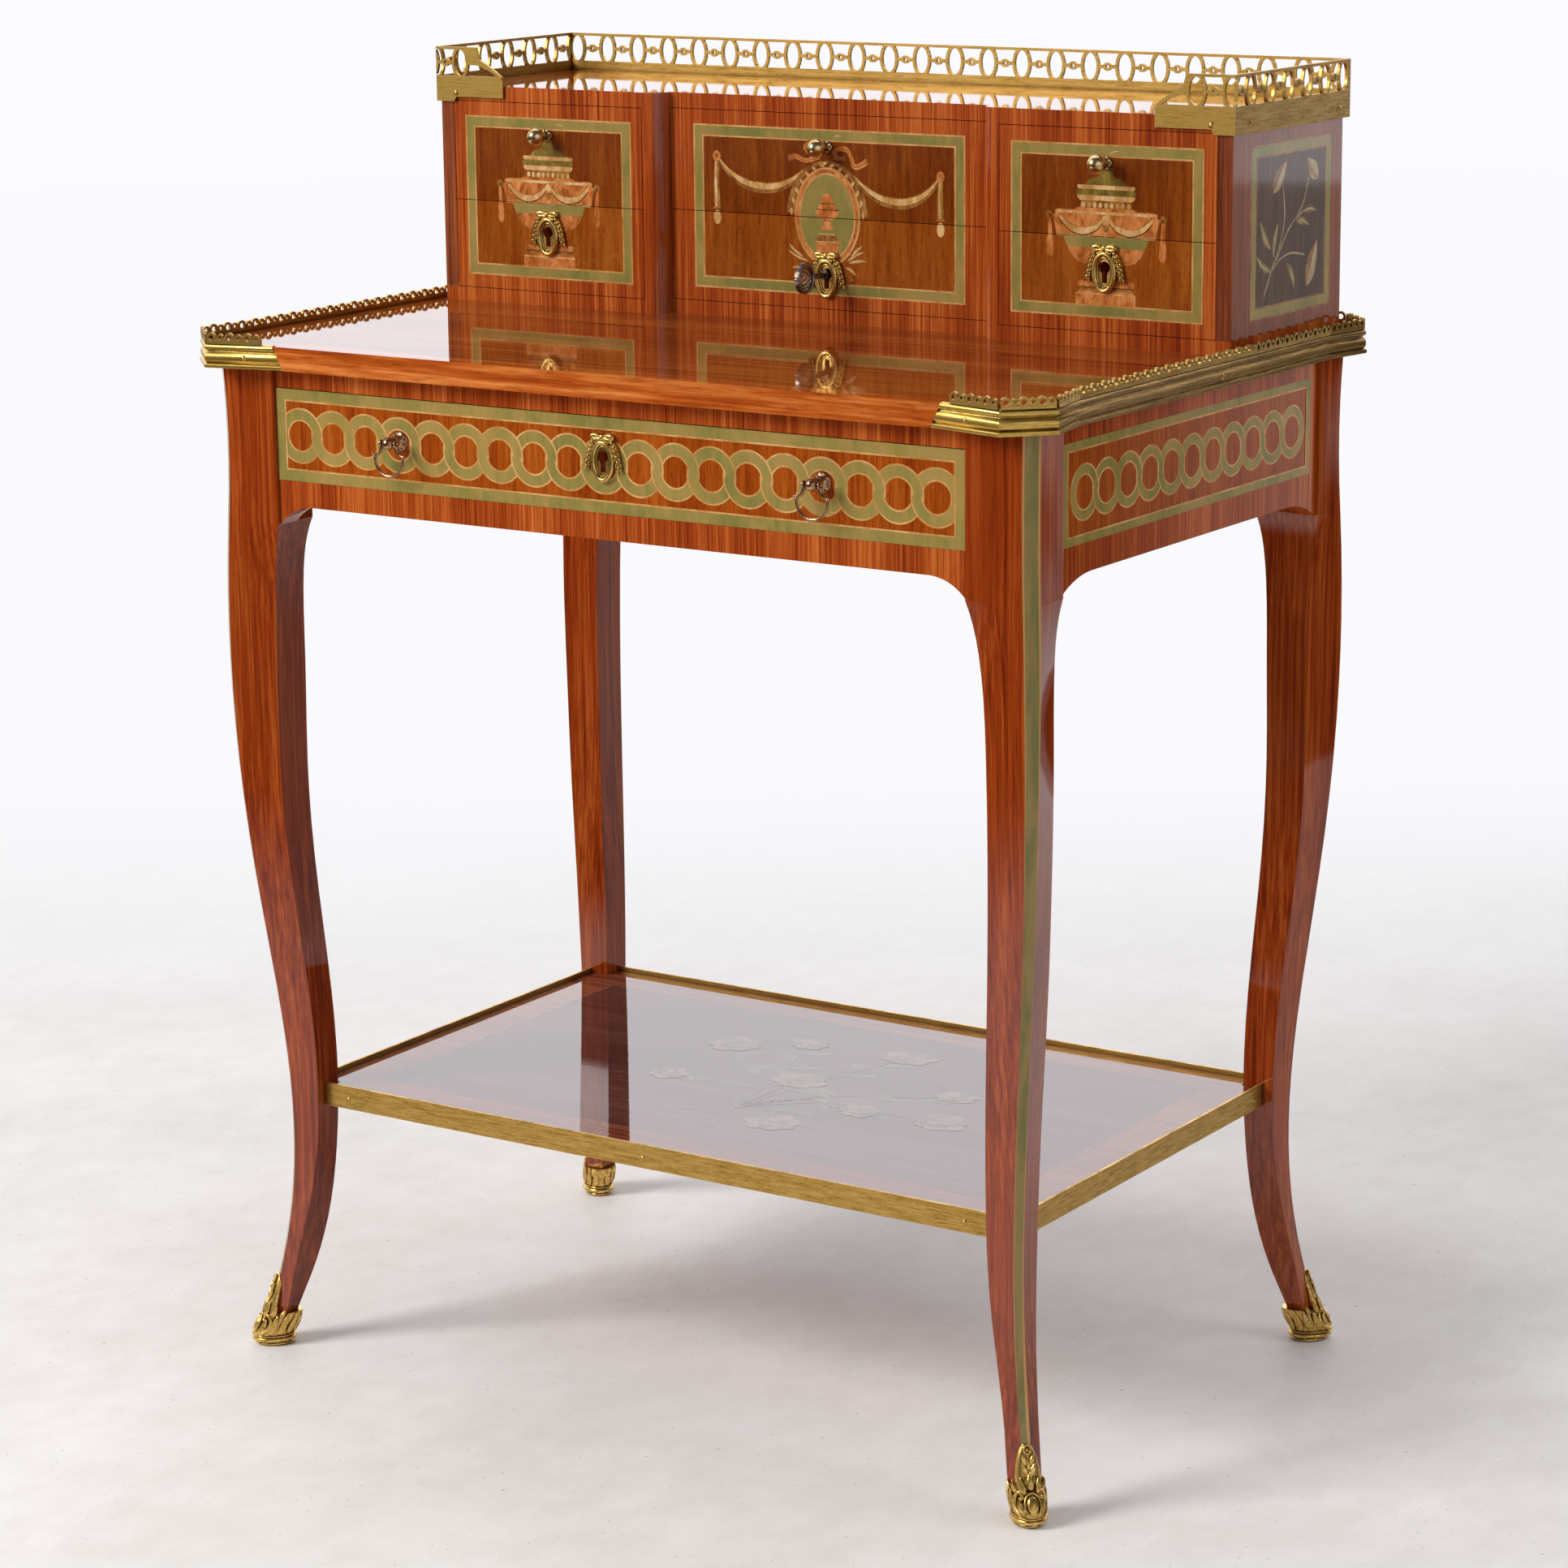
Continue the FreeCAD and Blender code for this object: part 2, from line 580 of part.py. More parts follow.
def inset(points, distance):
    """A closed outline moved inwards; its points go round anticlockwise."""
    moved = []
    count = len(points)
    for i in range(count):
        before, here, after = (V(*points[(i + k - 1) % count], 0) for k in range(3))
        a = (here - before).normalize()
        b = (after - here).normalize()
        normal_a, normal_b = V(-a.y, a.x, 0), V(-b.y, b.x, 0)
        half = (normal_a + normal_b) / (1.0 + normal_a.dot(normal_b))
        moved.append((here.x + half.x * distance, here.y + half.y * distance))
    return moved


def whole_outline():
    """The top's outer line all the way round, anticlockwise from above."""
    right = top_outline()
    left = [(-x, y) for x, y in reversed(right)]
    return right + left


def lipping(extra=0.0):
    """Solid wood strip between the brass corners; extra makes it a cutter."""
    lean = LIPPING_SLANT / TOP_THICK
    low, high = LEG_TOP - extra, TOP_SURFACE + extra
    half_low = EAR_SIDE - EAR_CANT - EAR_FRONT_RUN - extra * lean
    half_high = half_low + (high - low) * lean
    shape = prism([(-half_low, 0, low), (half_low, 0, low), (half_high, 0, high),
                   (-half_high, 0, high)], BACK * (LIPPING_DEPTH + extra))
    shape.translate(BACK * (-TOP_FRONT - extra))
    return shape


def moulding_strips():
    """Mitred lengths of stepped moulding, none along the front lipping."""
    outer = whole_outline()
    cutter = lipping(CUTTER)
    inner = inset(outer, MOULDING_WIDTH)
    strips = []
    for i in range(len(outer) - 1):
        members = []
        for bottom, top, set_back in MOULDING_MEMBERS:
            edge = inset(outer, set_back)
            members.append(slab([edge[i], edge[i + 1], inner[i + 1], inner[i]],
                                LEG_TOP + bottom, LEG_TOP + top))
        strips.append(cut(fuse(members), [cutter]))
    return strips


def ring_strip(length):
    """A pierced strip of large and small rings, from 0 along X, rising from Z 0."""
    pairs = int(math.ceil(length / RING_PITCH - 0.3))
    pitch = length / pairs
    rings = []
    for k in range(pairs):
        rings.append((pitch * (k + 0.25), LARGE_RING, LARGE_HOLE))
        rings.append((pitch * (k + 0.75), SMALL_RING, SMALL_HOLE))
    discs = [Part.Face(Part.Wire(Part.makeCircle(radius, V(x, 0, RING_CENTRE), BACK)))
             for x, radius, _ in rings]
    base = Part.Face(Part.makePolygon([V(0, 0, 0), V(length, 0, 0), V(length, 0, RING_CENTRE),
                                       V(0, 0, RING_CENTRE), V(0, 0, 0)]))
    sheet = base.multiFuse(discs)
    holes = [Part.Face(Part.Wire(Part.makeCircle(hole, V(x, 0, RING_CENTRE), BACK)))
             for x, _, hole in rings]
    beyond = [Part.makeBox(LARGE_RING, 2, 4 * LARGE_RING, V(-LARGE_RING, -1, 0)),
              Part.makeBox(LARGE_RING, 2, 4 * LARGE_RING, V(length, -1, 0))]
    sheet = sheet.cut(Part.makeCompound(holes + beyond)).removeSplitter()
    return sheet.Faces[0].extrude(BACK * RING_STRIP_THICK)


def stand_strip(strip, start, end, height):
    """Stand a strip on the line between two plan points, thickness inwards."""
    line = V(end[0] - start[0], end[1] - start[1], 0)
    strip.rotate(V(0, 0, 0), UP, math.degrees(math.atan2(line.y, line.x)))
    strip.translate(V(start[0], start[1], height))
    return strip


def top_gallery():
    """Ring gallery on the moulding, round everything but the front lipping."""
    line = inset(whole_outline(), RING_STRIP_INSET + RING_STRIP_THICK)
    slack = RING_STRIP_THICK
    strips = []
    for i in range(len(line) - 1):
        start, end = V(*line[i], 0), V(*line[i + 1], 0)
        along = (end - start).normalize()
        outward = V(along.y, -along.x, 0)
        start = start + outward * slack + along * STRIP_END_GAP
        end = end + outward * slack - along * STRIP_END_GAP
        if i == 0:
            start = start + along * (LIPPING_SLANT * 2 + STRIP_END_GAP)
        if i == len(line) - 2:
            end = end - along * (LIPPING_SLANT * 2 + STRIP_END_GAP)
        strip = ring_strip((end - start).Length)
        top = LEG_TOP + MOULDING_MEMBERS[-1][1]
        strips.append(stand_strip(strip, (start.x, start.y), (end.x, end.y), top))
    return strips


def make_top():
    board = slab(inset(whole_outline(), MOULDING_WIDTH), LEG_TOP, TOP_SURFACE)
    front = box(-EAR_SIDE, EAR_SIDE, -EAR_FRONT, -TOP_FRONT + LIPPING_DEPTH, LEG_TOP, TOP_SURFACE)
    corners = [solid for solid in board.common(front).Solids]
    field = board.cut(front)
    kept = [corner.cut(lipping(CUTTER)) for corner in corners]
    board = fuse([field] + [solid for piece in kept for solid in piece.Solids])
    save("table_top", cut(board, [hole for hole in nail_holes() if hole.distToShape(board)[0] < 1]))
    save("top_front_edge", lipping())
    save("top_moulding", [cut(strip, nail_holes()) for strip in moulding_strips()])
    save("top_gallery", top_gallery())


# ---------------------------------------------------------------- shelf
def shelf_corner():
    """Plan notch that clears the front right leg at the shelf."""
    _, reach, front_width, side_width, _, _, _ = station_at_shelf()
    x = LEG_SIDE + reach
    y = LEG_FRONT + reach
    inner_x = x - front_width - SEAT_GAP
    inner_y = y - side_width - SEAT_GAP
    return [(inner_x, -inner_y), (inner_x, -y), (x, -y), (x, -inner_y)]


def shelf_notches():
    notch = slab(shelf_corner(), SHELF_TOP - 2 * SHELF_THICK, EDGING_TOP + 1)
    return list(four_corners(notch).values())


def make_shelf():
    start, inward = dowel_start()
    hole = rod(start, inward, DOWEL_RADIUS + FIT_GAP, DOWEL_LENGTH)
    board = box(-SHELF_SIDE + EDGING_THICK, SHELF_SIDE - EDGING_THICK,
                -SHELF_FRONT + EDGING_THICK, SHELF_FRONT - EDGING_THICK,
                SHELF_TOP - SHELF_THICK, SHELF_TOP)
    holes = list(four_corners(hole).values())
    save("shelf_board", cut(board, shelf_notches() + holes + nail_holes()))
    low = EDGING_TOP - EDGING_HEIGHT
    front = box(-SHELF_SIDE, SHELF_SIDE, -SHELF_FRONT, -SHELF_FRONT + EDGING_THICK, low, EDGING_TOP)
    side = box(SHELF_SIDE - EDGING_THICK, SHELF_SIDE, -SHELF_FRONT, SHELF_FRONT, low, EDGING_TOP)
    strips = [front, turned_back(front), side, mirrored(side)]
    save("shelf_edging", [cut(strip, shelf_notches() + nail_holes()) for strip in strips])
    dowel = rod(start, inward, DOWEL_RADIUS, DOWEL_LENGTH)
    save("shelf_dowels", list(four_corners(dowel).values()))


# ---------------------------------------------------------------- cabinet case
def case_outline():
    """Plan of the cabinet: two side blocks and a middle bay set back."""
    recess = CABINET_FRONT + RECESS
    return [(-CABINET_SIDE, CABINET_FRONT), (-PARTITION_IN - PARTITION_ROUND, CABINET_FRONT),
            (-PARTITION_IN, recess), (PARTITION_IN, recess),
            (PARTITION_IN + PARTITION_ROUND, CABINET_FRONT), (CABINET_SIDE, CABINET_FRONT),
            (CABINET_SIDE, CABINET_BACK), (-CABINET_SIDE, CABINET_BACK)]


def case_board(z0, z1):
    """A board on the cabinet's plan, with its inner corners rounded."""
    recess = CABINET_FRONT + RECESS
    blocks = [slab(case_outline(), z0, z1)]
    for sign in (-1, 1):
        centre = V(sign * (PARTITION_IN + PARTITION_ROUND), CABINET_FRONT + PARTITION_ROUND, z0)
        blocks.append(Part.makeCylinder(PARTITION_ROUND, z1 - z0, centre, UP))
        x0, x1 = sorted((sign * PARTITION_IN, sign * (PARTITION_IN + PARTITION_ROUND)))
        blocks.append(box(x0, x1, CABINET_FRONT + PARTITION_ROUND, recess + 1, z0, z1))
    return fuse(blocks)


def partition():
    """Right partition, its front edge rounded towards the middle bay."""
    z0, z1 = TOP_SURFACE + BASE_THICK, CABINET_TOP - TOP_BOARD
    board = box(PARTITION_IN, PARTITION_OUT, CABINET_FRONT, CABINET_BACK - BACK_THICK, z0, z1)
    corner = box(PARTITION_IN, PARTITION_IN + PARTITION_ROUND,
                 CABINET_FRONT, CABINET_FRONT + PARTITION_ROUND, z0, z1)
    centre = V(PARTITION_IN + PARTITION_ROUND, CABINET_FRONT + PARTITION_ROUND, z0)
    return cut(board, [corner.cut(Part.makeCylinder(PARTITION_ROUND, z1 - z0, centre, UP))])


def bays():
    """Each bay by name: its left and right limits, front plane and keyhole."""
    side = (PARTITION_OUT, CABINET_SIDE - SIDE_THICK)
    return {"left": (-side[1], -side[0], CABINET_FRONT, SIDE_KEYHOLE),
            "middle": (-PARTITION_IN, PARTITION_IN, CABINET_FRONT + RECESS, MIDDLE_KEYHOLE),
            "right": (side[0], side[1], CABINET_FRONT, SIDE_KEYHOLE)}


def dust_board(x0, x1, front):
    """Board between two drawers of a bay, with a mortise for the lower one's bolt."""
    start = front + FRONT_THICK + JOINERY_GAP
    low, high = SPLIT - DUST_THICK / 2, SPLIT + DUST_THICK / 2
    board = box(x0, x1, start, CABINET_BACK - BACK_THICK, low, high)
    centre_x = (x0 + x1) / 2
    centre_y = front + FRONT_THICK + LOCK_DEPTH / 2
    half_x = BOLT_HALF_WIDTH + MORTISE_GAP
    half_y = BOLT_HALF_THICK + MORTISE_GAP
    mortise = box(centre_x - half_x, centre_x + half_x, centre_y - half_y, centre_y + half_y,
                  low, high - MORTISE_LID)
    return cut(board, [mortise])


def make_cabinet():
    low, high = TOP_SURFACE + BASE_THICK, CABINET_TOP - TOP_BOARD
    save("cabinet_base", case_board(TOP_SURFACE, low))
    overhang = box(-CABINET_SIDE, CABINET_SIDE, CABINET_BACK - 1, BAND_BACK, high, CABINET_TOP)
    save("cabinet_top", cut(fuse([case_board(high, CABINET_TOP), overhang]), nail_holes()))
    side = box(CABINET_SIDE - SIDE_THICK, CABINET_SIDE, CABINET_FRONT, CABINET_BACK, low, high)
    save("cabinet_side_right", side)
    save("cabinet_side_left", mirrored(side))
    save("partition_right", partition())
    save("partition_left", mirrored(partition()))
    half = CABINET_SIDE - SIDE_THICK
    save("cabinet_back", box(-half, half, CABINET_BACK - BACK_THICK, CABINET_BACK, low, high))
    save("dust_boards", [dust_board(x0, x1, front) for x0, x1, front, _ in bays().values()])


# ---------------------------------------------------------------- cabinet brass
def make_band():
    """Flat brass band round the top of the cabinet, with short front returns."""
    outer = CABINET_SIDE + BAND_THICK
    side = box(CABINET_SIDE, outer, CABINET_FRONT, BAND_BACK, BAND_BOTTOM, BAND_TOP)
    ret = prism([(outer, 0, BAND_BOTTOM), (outer, 0, BAND_TOP), (outer - BAND_RETURN, 0, BAND_TOP),
                 (outer - BAND_RETURN, 0, BAND_RETURN_BOTTOM),
                 (outer - BAND_DROP - 2, 0, BAND_RETURN_BOTTOM), (outer - BAND_DROP, 0, BAND_BOTTOM)],
                BACK * BAND_THICK)
    ret.translate(BACK * (CABINET_FRONT - BAND_THICK))
    back = box(-outer, outer, BAND_BACK, BAND_BACK + BAND_THICK, BAND_BOTTOM, BAND_TOP)
    strips = [side, mirrored(side), ret, mirrored(ret), back]
    save("gallery_band", [cut(strip, nail_holes()) for strip in strips])


def oval_point(centre, side, rise, half_height):
    """A point on the outside of an oval, at a height over its middle."""
    return V(centre + side * OVAL_HALF_WIDTH * math.sqrt(1 - (rise / half_height) ** 2), 0, rise)


def bay_openings(left, right, half_height):
    """The two openings between neighbouring ovals, above and below their web."""
    middle = (left + right) / 2
    top = half_height - GALLERY_RAIL
    foot = WEB_HALF
    wires = []
    for sign in (1, -1):
        a = oval_point(left, 1, top, half_height + 1)
        b = oval_point(left, 1, top * BAY_SWELL, half_height + 1)
        c = oval_point(left, 1, foot, half_height + 1)
        d = V(middle - EYE_RADIUS, 0, foot)
        e = V(middle, 0, EYE_RADIUS)
        half = [Part.Arc(a, b, c).toShape(), Part.makeLine(c, d)]
        other = [edge.mirror(V(middle, 0, 0), RIGHT) for edge in half]
        eye = Part.Arc(d, e, V(2 * middle - d.x, 0, d.z)).toShape()
        lid = Part.makeLine(a, V(2 * middle - a.x, 0, a.z))
        wire = Part.Wire(Part.sortEdges(half + other + [eye, lid])[0])
        wires.append(wire if sign == 1 else wire.mirror(V(0, 0, 0), UP))
    return wires


def pierced(outline, ovals, height, openings=()):
    """A gallery sheet: an outline pierced by ovals and by the bays between them."""
    half_height = height / 2
    inner_height = half_height - GALLERY_RAIL
    holes = list(openings)
    for x in ovals:
        holes.append(upright_oval(x, 0, 0, OVAL_HALF_WIDTH - OVAL_WALL, inner_height))
    for left, right in zip(ovals, ovals[1:]):
        holes += bay_openings(left, right, half_height)
        holes.append(Part.Wire(Part.makeCircle(EYE_HOLE, V((left + right) / 2, 0, 0), BACK)))
    sheet = Part.Face(outline)
    sheet = sheet.cut(Part.makeCompound([Part.Face(wire) for wire in holes]))
    solid = sheet.Faces[0].extrude(BACK * GALLERY_THICK)
    return solid


def gallery_run(length, first, last):
    """A straight length of gallery from 0 along X, centred on Z 0.

    The middles of the end ovals lie inside its ends by first and last.
    """
    height = GALLERY_TOP - BAND_TOP
    count = int(round((length - first - last) / GALLERY_PITCH))
    pitch = (length - first - last) / count
    ovals = [first + k * pitch for k in range(count + 1)]
    outline = Part.makePolygon([V(0, 0, -height / 2), V(length, 0, -height / 2),
                                V(length, 0, height / 2), V(0, 0, height / 2),
                                V(0, 0, -height / 2)])
    return pierced(outline, ovals, height)


def gallery_return(places):
    """A front return that runs to the left from X 0 and ends in a falling leaf."""
    height = GALLERY_TOP - BAND_TOP
    half = height / 2
    end = BAND_RETURN - 1
    leaf_start = RETURN_RAIL + LEAF_RUN
    leaf_middle = (leaf_start + end) / 2
    outline = Part.Wire([
        Part.makeLine(V(0, 0, -half), V(0, 0, half)),
        Part.makeLine(V(0, 0, half), V(-RETURN_RAIL, 0, half)),
        Part.makeLine(V(-RETURN_RAIL, 0, half), V(-leaf_start, 0, RETURN_LEAF - half)),
        Part.Arc(V(-leaf_start, 0, RETURN_LEAF - half),
                 V(-leaf_middle, 0, RETURN_LEAF * LEAF_SAG - half),
                 V(-end, 0, LEAF_TIP - half)).toShape(),
        Part.makeLine(V(-end, 0, LEAF_TIP - half), V(-end, 0, -half)),
        Part.makeLine(V(-end, 0, -half), V(0, 0, -half))])
    beside = -places[0]
    low = GALLERY_RAIL - half
    root = oval_point(beside, -1, -WEB_HALF, half + 1)
    bulge = oval_point(beside, -1, low * BAY_SWELL, half + 1)
    foot = oval_point(beside, -1, low, half + 1)
    crown = V(-leaf_start, 0, RETURN_LEAF - half - LEAF_WALL * SQRT2)
    slope = V(-leaf_middle, 0, RETURN_LEAF * LEAF_SAG - half - LEAF_WALL)
    tip = V(LEAF_WALL * SQRT2 - end, 0, low)
    under_leaf = Part.Wire([
        Part.Arc(foot, bulge, root).toShape(), Part.makeLine(root, crown),
        Part.makeLine(crown, slope), Part.makeLine(slope, tip), Part.makeLine(tip, foot)])
    return pierced(outline, [-place for place in places], height, [under_leaf])


def make_gallery():
    outer = CABINET_SIDE + BAND_THICK
    middle = (GALLERY_TOP + BAND_TOP) / 2
    inner_back = BAND_BACK + BAND_THICK - GALLERY_THICK
    back = gallery_run(2 * outer, BACK_OVAL_INSET, BACK_OVAL_INSET)
    back.translate(V(-outer, inner_back, middle))
    depth = inner_back - CABINET_FRONT
    sides = []
    for first, last in ((FRONT_OVAL_RIGHT, REAR_OVAL_RIGHT), (FRONT_OVAL_LEFT, REAR_OVAL_LEFT)):
        run = gallery_run(depth, first, last)
        run.rotate(V(0, 0, 0), UP, 90)
        run.translate(V(outer, CABINET_FRONT, middle))
        sides.append(run)
    returns = []
    for places in (RETURN_OVALS_RIGHT, RETURN_OVALS_LEFT):
        piece = gallery_return(places)
        piece.translate(V(outer, CABINET_FRONT - BAND_THICK, middle))
        returns.append(piece)
    save("upper_gallery", [back, sides[0], mirrored(sides[1]), returns[0],
                           mirrored(returns[1])])


# ---------------------------------------------------------------- nails
def nail_places():
    """Every brass nail: the point under its head and the way it faces."""
    left, right, front, back = V(-1, 0, 0), RIGHT, V(0, -1, 0), BACK
    places = []
    band_x = CABINET_SIDE + BAND_THICK
    band_z = CABINET_TOP - TOP_BOARD / 2
    for y in (CABINET_FRONT + BAND_NAIL_FRONT, BAND_BACK - BAND_NAIL_BACK):
        places += [(V(band_x, y, band_z), right), (V(-band_x, y, band_z), left)]
    for sign in (-1, 1):
        places.append((V(sign * (band_x - RETURN_NAIL), CABINET_FRONT - BAND_THICK, band_z), front))
        places.append((V(sign * (band_x - BACK_NAIL), BAND_BACK + BAND_THICK, band_z), back))
    low, high, face = MOULDING_MEMBERS[1]
    top_z = LEG_TOP + (low + high) / 2
    places += [(V(TOP_SIDE - face, TOP_SIDE_NAIL, top_z), right),
               (V(-TOP_SIDE + face, TOP_SIDE_NAIL, top_z), left)]
    places += [(V(x, TOP_FRONT - face, top_z), back) for x in (-TOP_BACK_NAIL, TOP_BACK_NAIL)]
    edge = inset(whole_outline(), face)
    for a, b in ((0, 1), (len(edge) - 1, len(edge) - 2)):
        start, end = V(*edge[a], top_z), V(*edge[b], top_z)
        along = (end - start).normalize()
        outward = V(-abs(along.y) * math.copysign(1, start.x), -abs(along.x), 0)
        places.append((start + along * EAR_NAIL, outward))
    edge_z = SHELF_TOP - SHELF_THICK / 2
    end_x = SHELF_SIDE - SHELF_NAIL_INSET
    end_y = SHELF_FRONT - SHELF_NAIL_DEPTH_INSET
    for x in (-end_x, 0, end_x):
        places += [(V(x, -SHELF_FRONT, edge_z), front), (V(x, SHELF_FRONT, edge_z), back)]
    for y in (-end_y, end_y):
        places += [(V(SHELF_SIDE, y, edge_z), right), (V(-SHELF_SIDE, y, edge_z), left)]
    return places


def nail_holes():
    return [rod(place + facing * 1, facing * -1, NAIL_SHANK + FIT_GAP, NAIL_LENGTH + 2)
            for place, facing in nail_places()]


def nail(place, facing):
    """Round-headed brass nail."""
    sphere_radius = (NAIL_HEAD ** 2 + NAIL_RISE ** 2) / (2 * NAIL_RISE)
    ball = Part.makeSphere(sphere_radius, V(0, 0, NAIL_RISE - sphere_radius))
    head = ball.common(Part.makeCylinder(NAIL_HEAD * 2, NAIL_RISE * 2))
    shank = Part.makeCylinder(NAIL_SHANK, NAIL_LENGTH, V(0, 0, -NAIL_LENGTH))
    whole = fuse([head, shank])
    whole.Placement = FreeCAD.Placement(place, FreeCAD.Rotation(UP, facing))
    return whole


def make_nails():
    save("brass_nails", [nail(place, facing) for place, facing in nail_places()])


# ---------------------------------------------------------------- drawer fittings
def keyhole(x, z, y, depth, grow=0.0):
    """Round hole with a slot below it, running back from a front plane."""
    round_part = rod(V(x, y, z), BACK, KEYHOLE_RADIUS + grow, depth)
    half = KEYHOLE_SLOT + grow
    slot = box(x - half, x + half, y, y + depth, z - KEYHOLE_DROP - grow, z)
    return round_part.fuse(slot)


def plate(x, z, face):
    """Oval keyhole plate with a raised rim, side garlands and a bow on top."""
    centre_z = z - PLATE_BELOW_KEYHOLE
    back_plane = face - PLATE_THICK
    oval = Part.Face(upright_oval(x, back_plane, centre_z, PLATE_HALF_WIDTH, PLATE_HALF_HEIGHT))
    body = oval.extrude(BACK * PLATE_THICK)
    rim_out = Part.Face(upright_oval(x, back_plane - PLATE_RIM_RISE, centre_z,
                                     PLATE_HALF_WIDTH, PLATE_HALF_HEIGHT))
    rim_in = Part.Face(upright_oval(x, back_plane - PLATE_RIM_RISE, centre_z,
                                    PLATE_HALF_WIDTH - PLATE_RIM, PLATE_HALF_HEIGHT - PLATE_RIM))
    rim = rim_out.cut(rim_in).extrude(BACK * (PLATE_RIM_RISE + 0.5))
    pieces = [body, rim]
    for sign in (-1, 1):
        garland = Part.Face(upright_oval(x + sign * GARLAND_OFFSET, back_plane - TRIM_RISE,
                                         centre_z + GARLAND_RISE, GARLAND_HALF_WIDTH, GARLAND_HALF_HEIGHT))
        pieces.append(garland.extrude(BACK * (PLATE_THICK + TRIM_RISE)))
    bow = Part.Face(upright_oval(x, back_plane - TRIM_RISE, centre_z + BOW_RISE,
                                 BOW_HALF_WIDTH, BOW_HALF_HEIGHT))
    pieces.append(bow.extrude(BACK * (PLATE_THICK + TRIM_RISE)))
    front = face - PLATE_THICK - PLATE_RIM_RISE
    return cut(fuse(pieces), [keyhole(x, z, front - 1, face - front + 2)])


def lock_case(x, z, back_face, top):
    """Hollow lock box on the back of a drawer front, with its drill pin."""
    bottom = z - LOCK_BELOW_KEYHOLE
    y0, y1 = back_face, back_face + LOCK_DEPTH
    case = box(x - LOCK_HALF_WIDTH, x + LOCK_HALF_WIDTH, y0, y1, bottom, top)
    cavity = box(x - LOCK_HALF_WIDTH + LOCK_WALL, x + LOCK_HALF_WIDTH - LOCK_WALL,
                 y0 + LOCK_WALL, y1 - LOCK_WALL, bottom + LOCK_WALL, top - LOCK_WALL)
    middle = (y0 + y1) / 2
    half_width, half_thick = BOLT_HALF_WIDTH + BOLT_GAP, BOLT_HALF_THICK + BOLT_GAP
    slot = box(x - half_width, x + half_width, middle - half_thick, middle + half_thick,
               top - 2 * LOCK_WALL, top + 1)
    hollow = cut(case, [cavity, slot, keyhole(x, z, y0 - 1, LOCK_WALL + 2)])
    pin = rod(V(x, y0, z), BACK, DRILL_PIN, LOCK_DEPTH - LOCK_WALL)
    return fuse([hollow, pin])


def bolt(x, z, back_face, top):
    """Flat bolt that stands in the lock and rises through its top."""
    middle = back_face + LOCK_DEPTH / 2
    return box(x - BOLT_HALF_WIDTH, x + BOLT_HALF_WIDTH,
               middle - BOLT_HALF_THICK, middle + BOLT_HALF_THICK, z + BIT_REACH + 1, top)


def fixed_lock(x, z, back_face, top):
    """A lock with its bolt drawn, resting on the case where no key lifts it."""
    case = lock_case(x, z, back_face, top)
    middle = back_face + LOCK_DEPTH / 2
    half_thick = BOLT_HALF_THICK + BOLT_GAP
    stub = box(x - BOLT_HALF_WIDTH, x + BOLT_HALF_WIDTH,
               middle - half_thick, middle + half_thick, z + BIT_REACH + 1, top)
    return fuse([case, stub])


def knob(x, z, face):
    """Turned ball knob with a neck, a flange and a shank into the drawer front."""
    ball = Part.makeSphere(KNOB_BALL, V(x, face - KNOB_REACH, z))
    neck = rod(V(x, face - KNOB_REACH, z), BACK, KNOB_NECK, KNOB_REACH)
    collar = rod(V(x, face - KNOB_REACH + KNOB_BALL - KNOB_COLLAR_LENGTH / 2, z), BACK,
                 KNOB_COLLAR, KNOB_COLLAR_LENGTH)
    flange = rod(V(x, face - KNOB_FLANGE_THICK, z), BACK, KNOB_FLANGE, KNOB_FLANGE_THICK)
    shank = rod(V(x, face, z), BACK, SHANK_RADIUS, SHANK_LENGTH)
    return fuse([ball, neck, collar, flange, shank])


# ---------------------------------------------------------------- small drawers
def small_box(x0, x1, y0, y1, z0, z1):
    """Sides, back and bottom of a small drawer behind its front."""
    side = SMALL_SIDE_THICK
    left = box(x0, x0 + side, y0, y1, z0, z1)
    right = box(x1 - side, x1, y0, y1, z0, z1)
    back = box(x0 + side, x1 - side, y1 - side, y1, z0, z1)
    bottom = box(x0 + side, x1 - side, y0, y1 - side, z0, z0 + SMALL_BOTTOM)
    return [left, right, back, bottom]


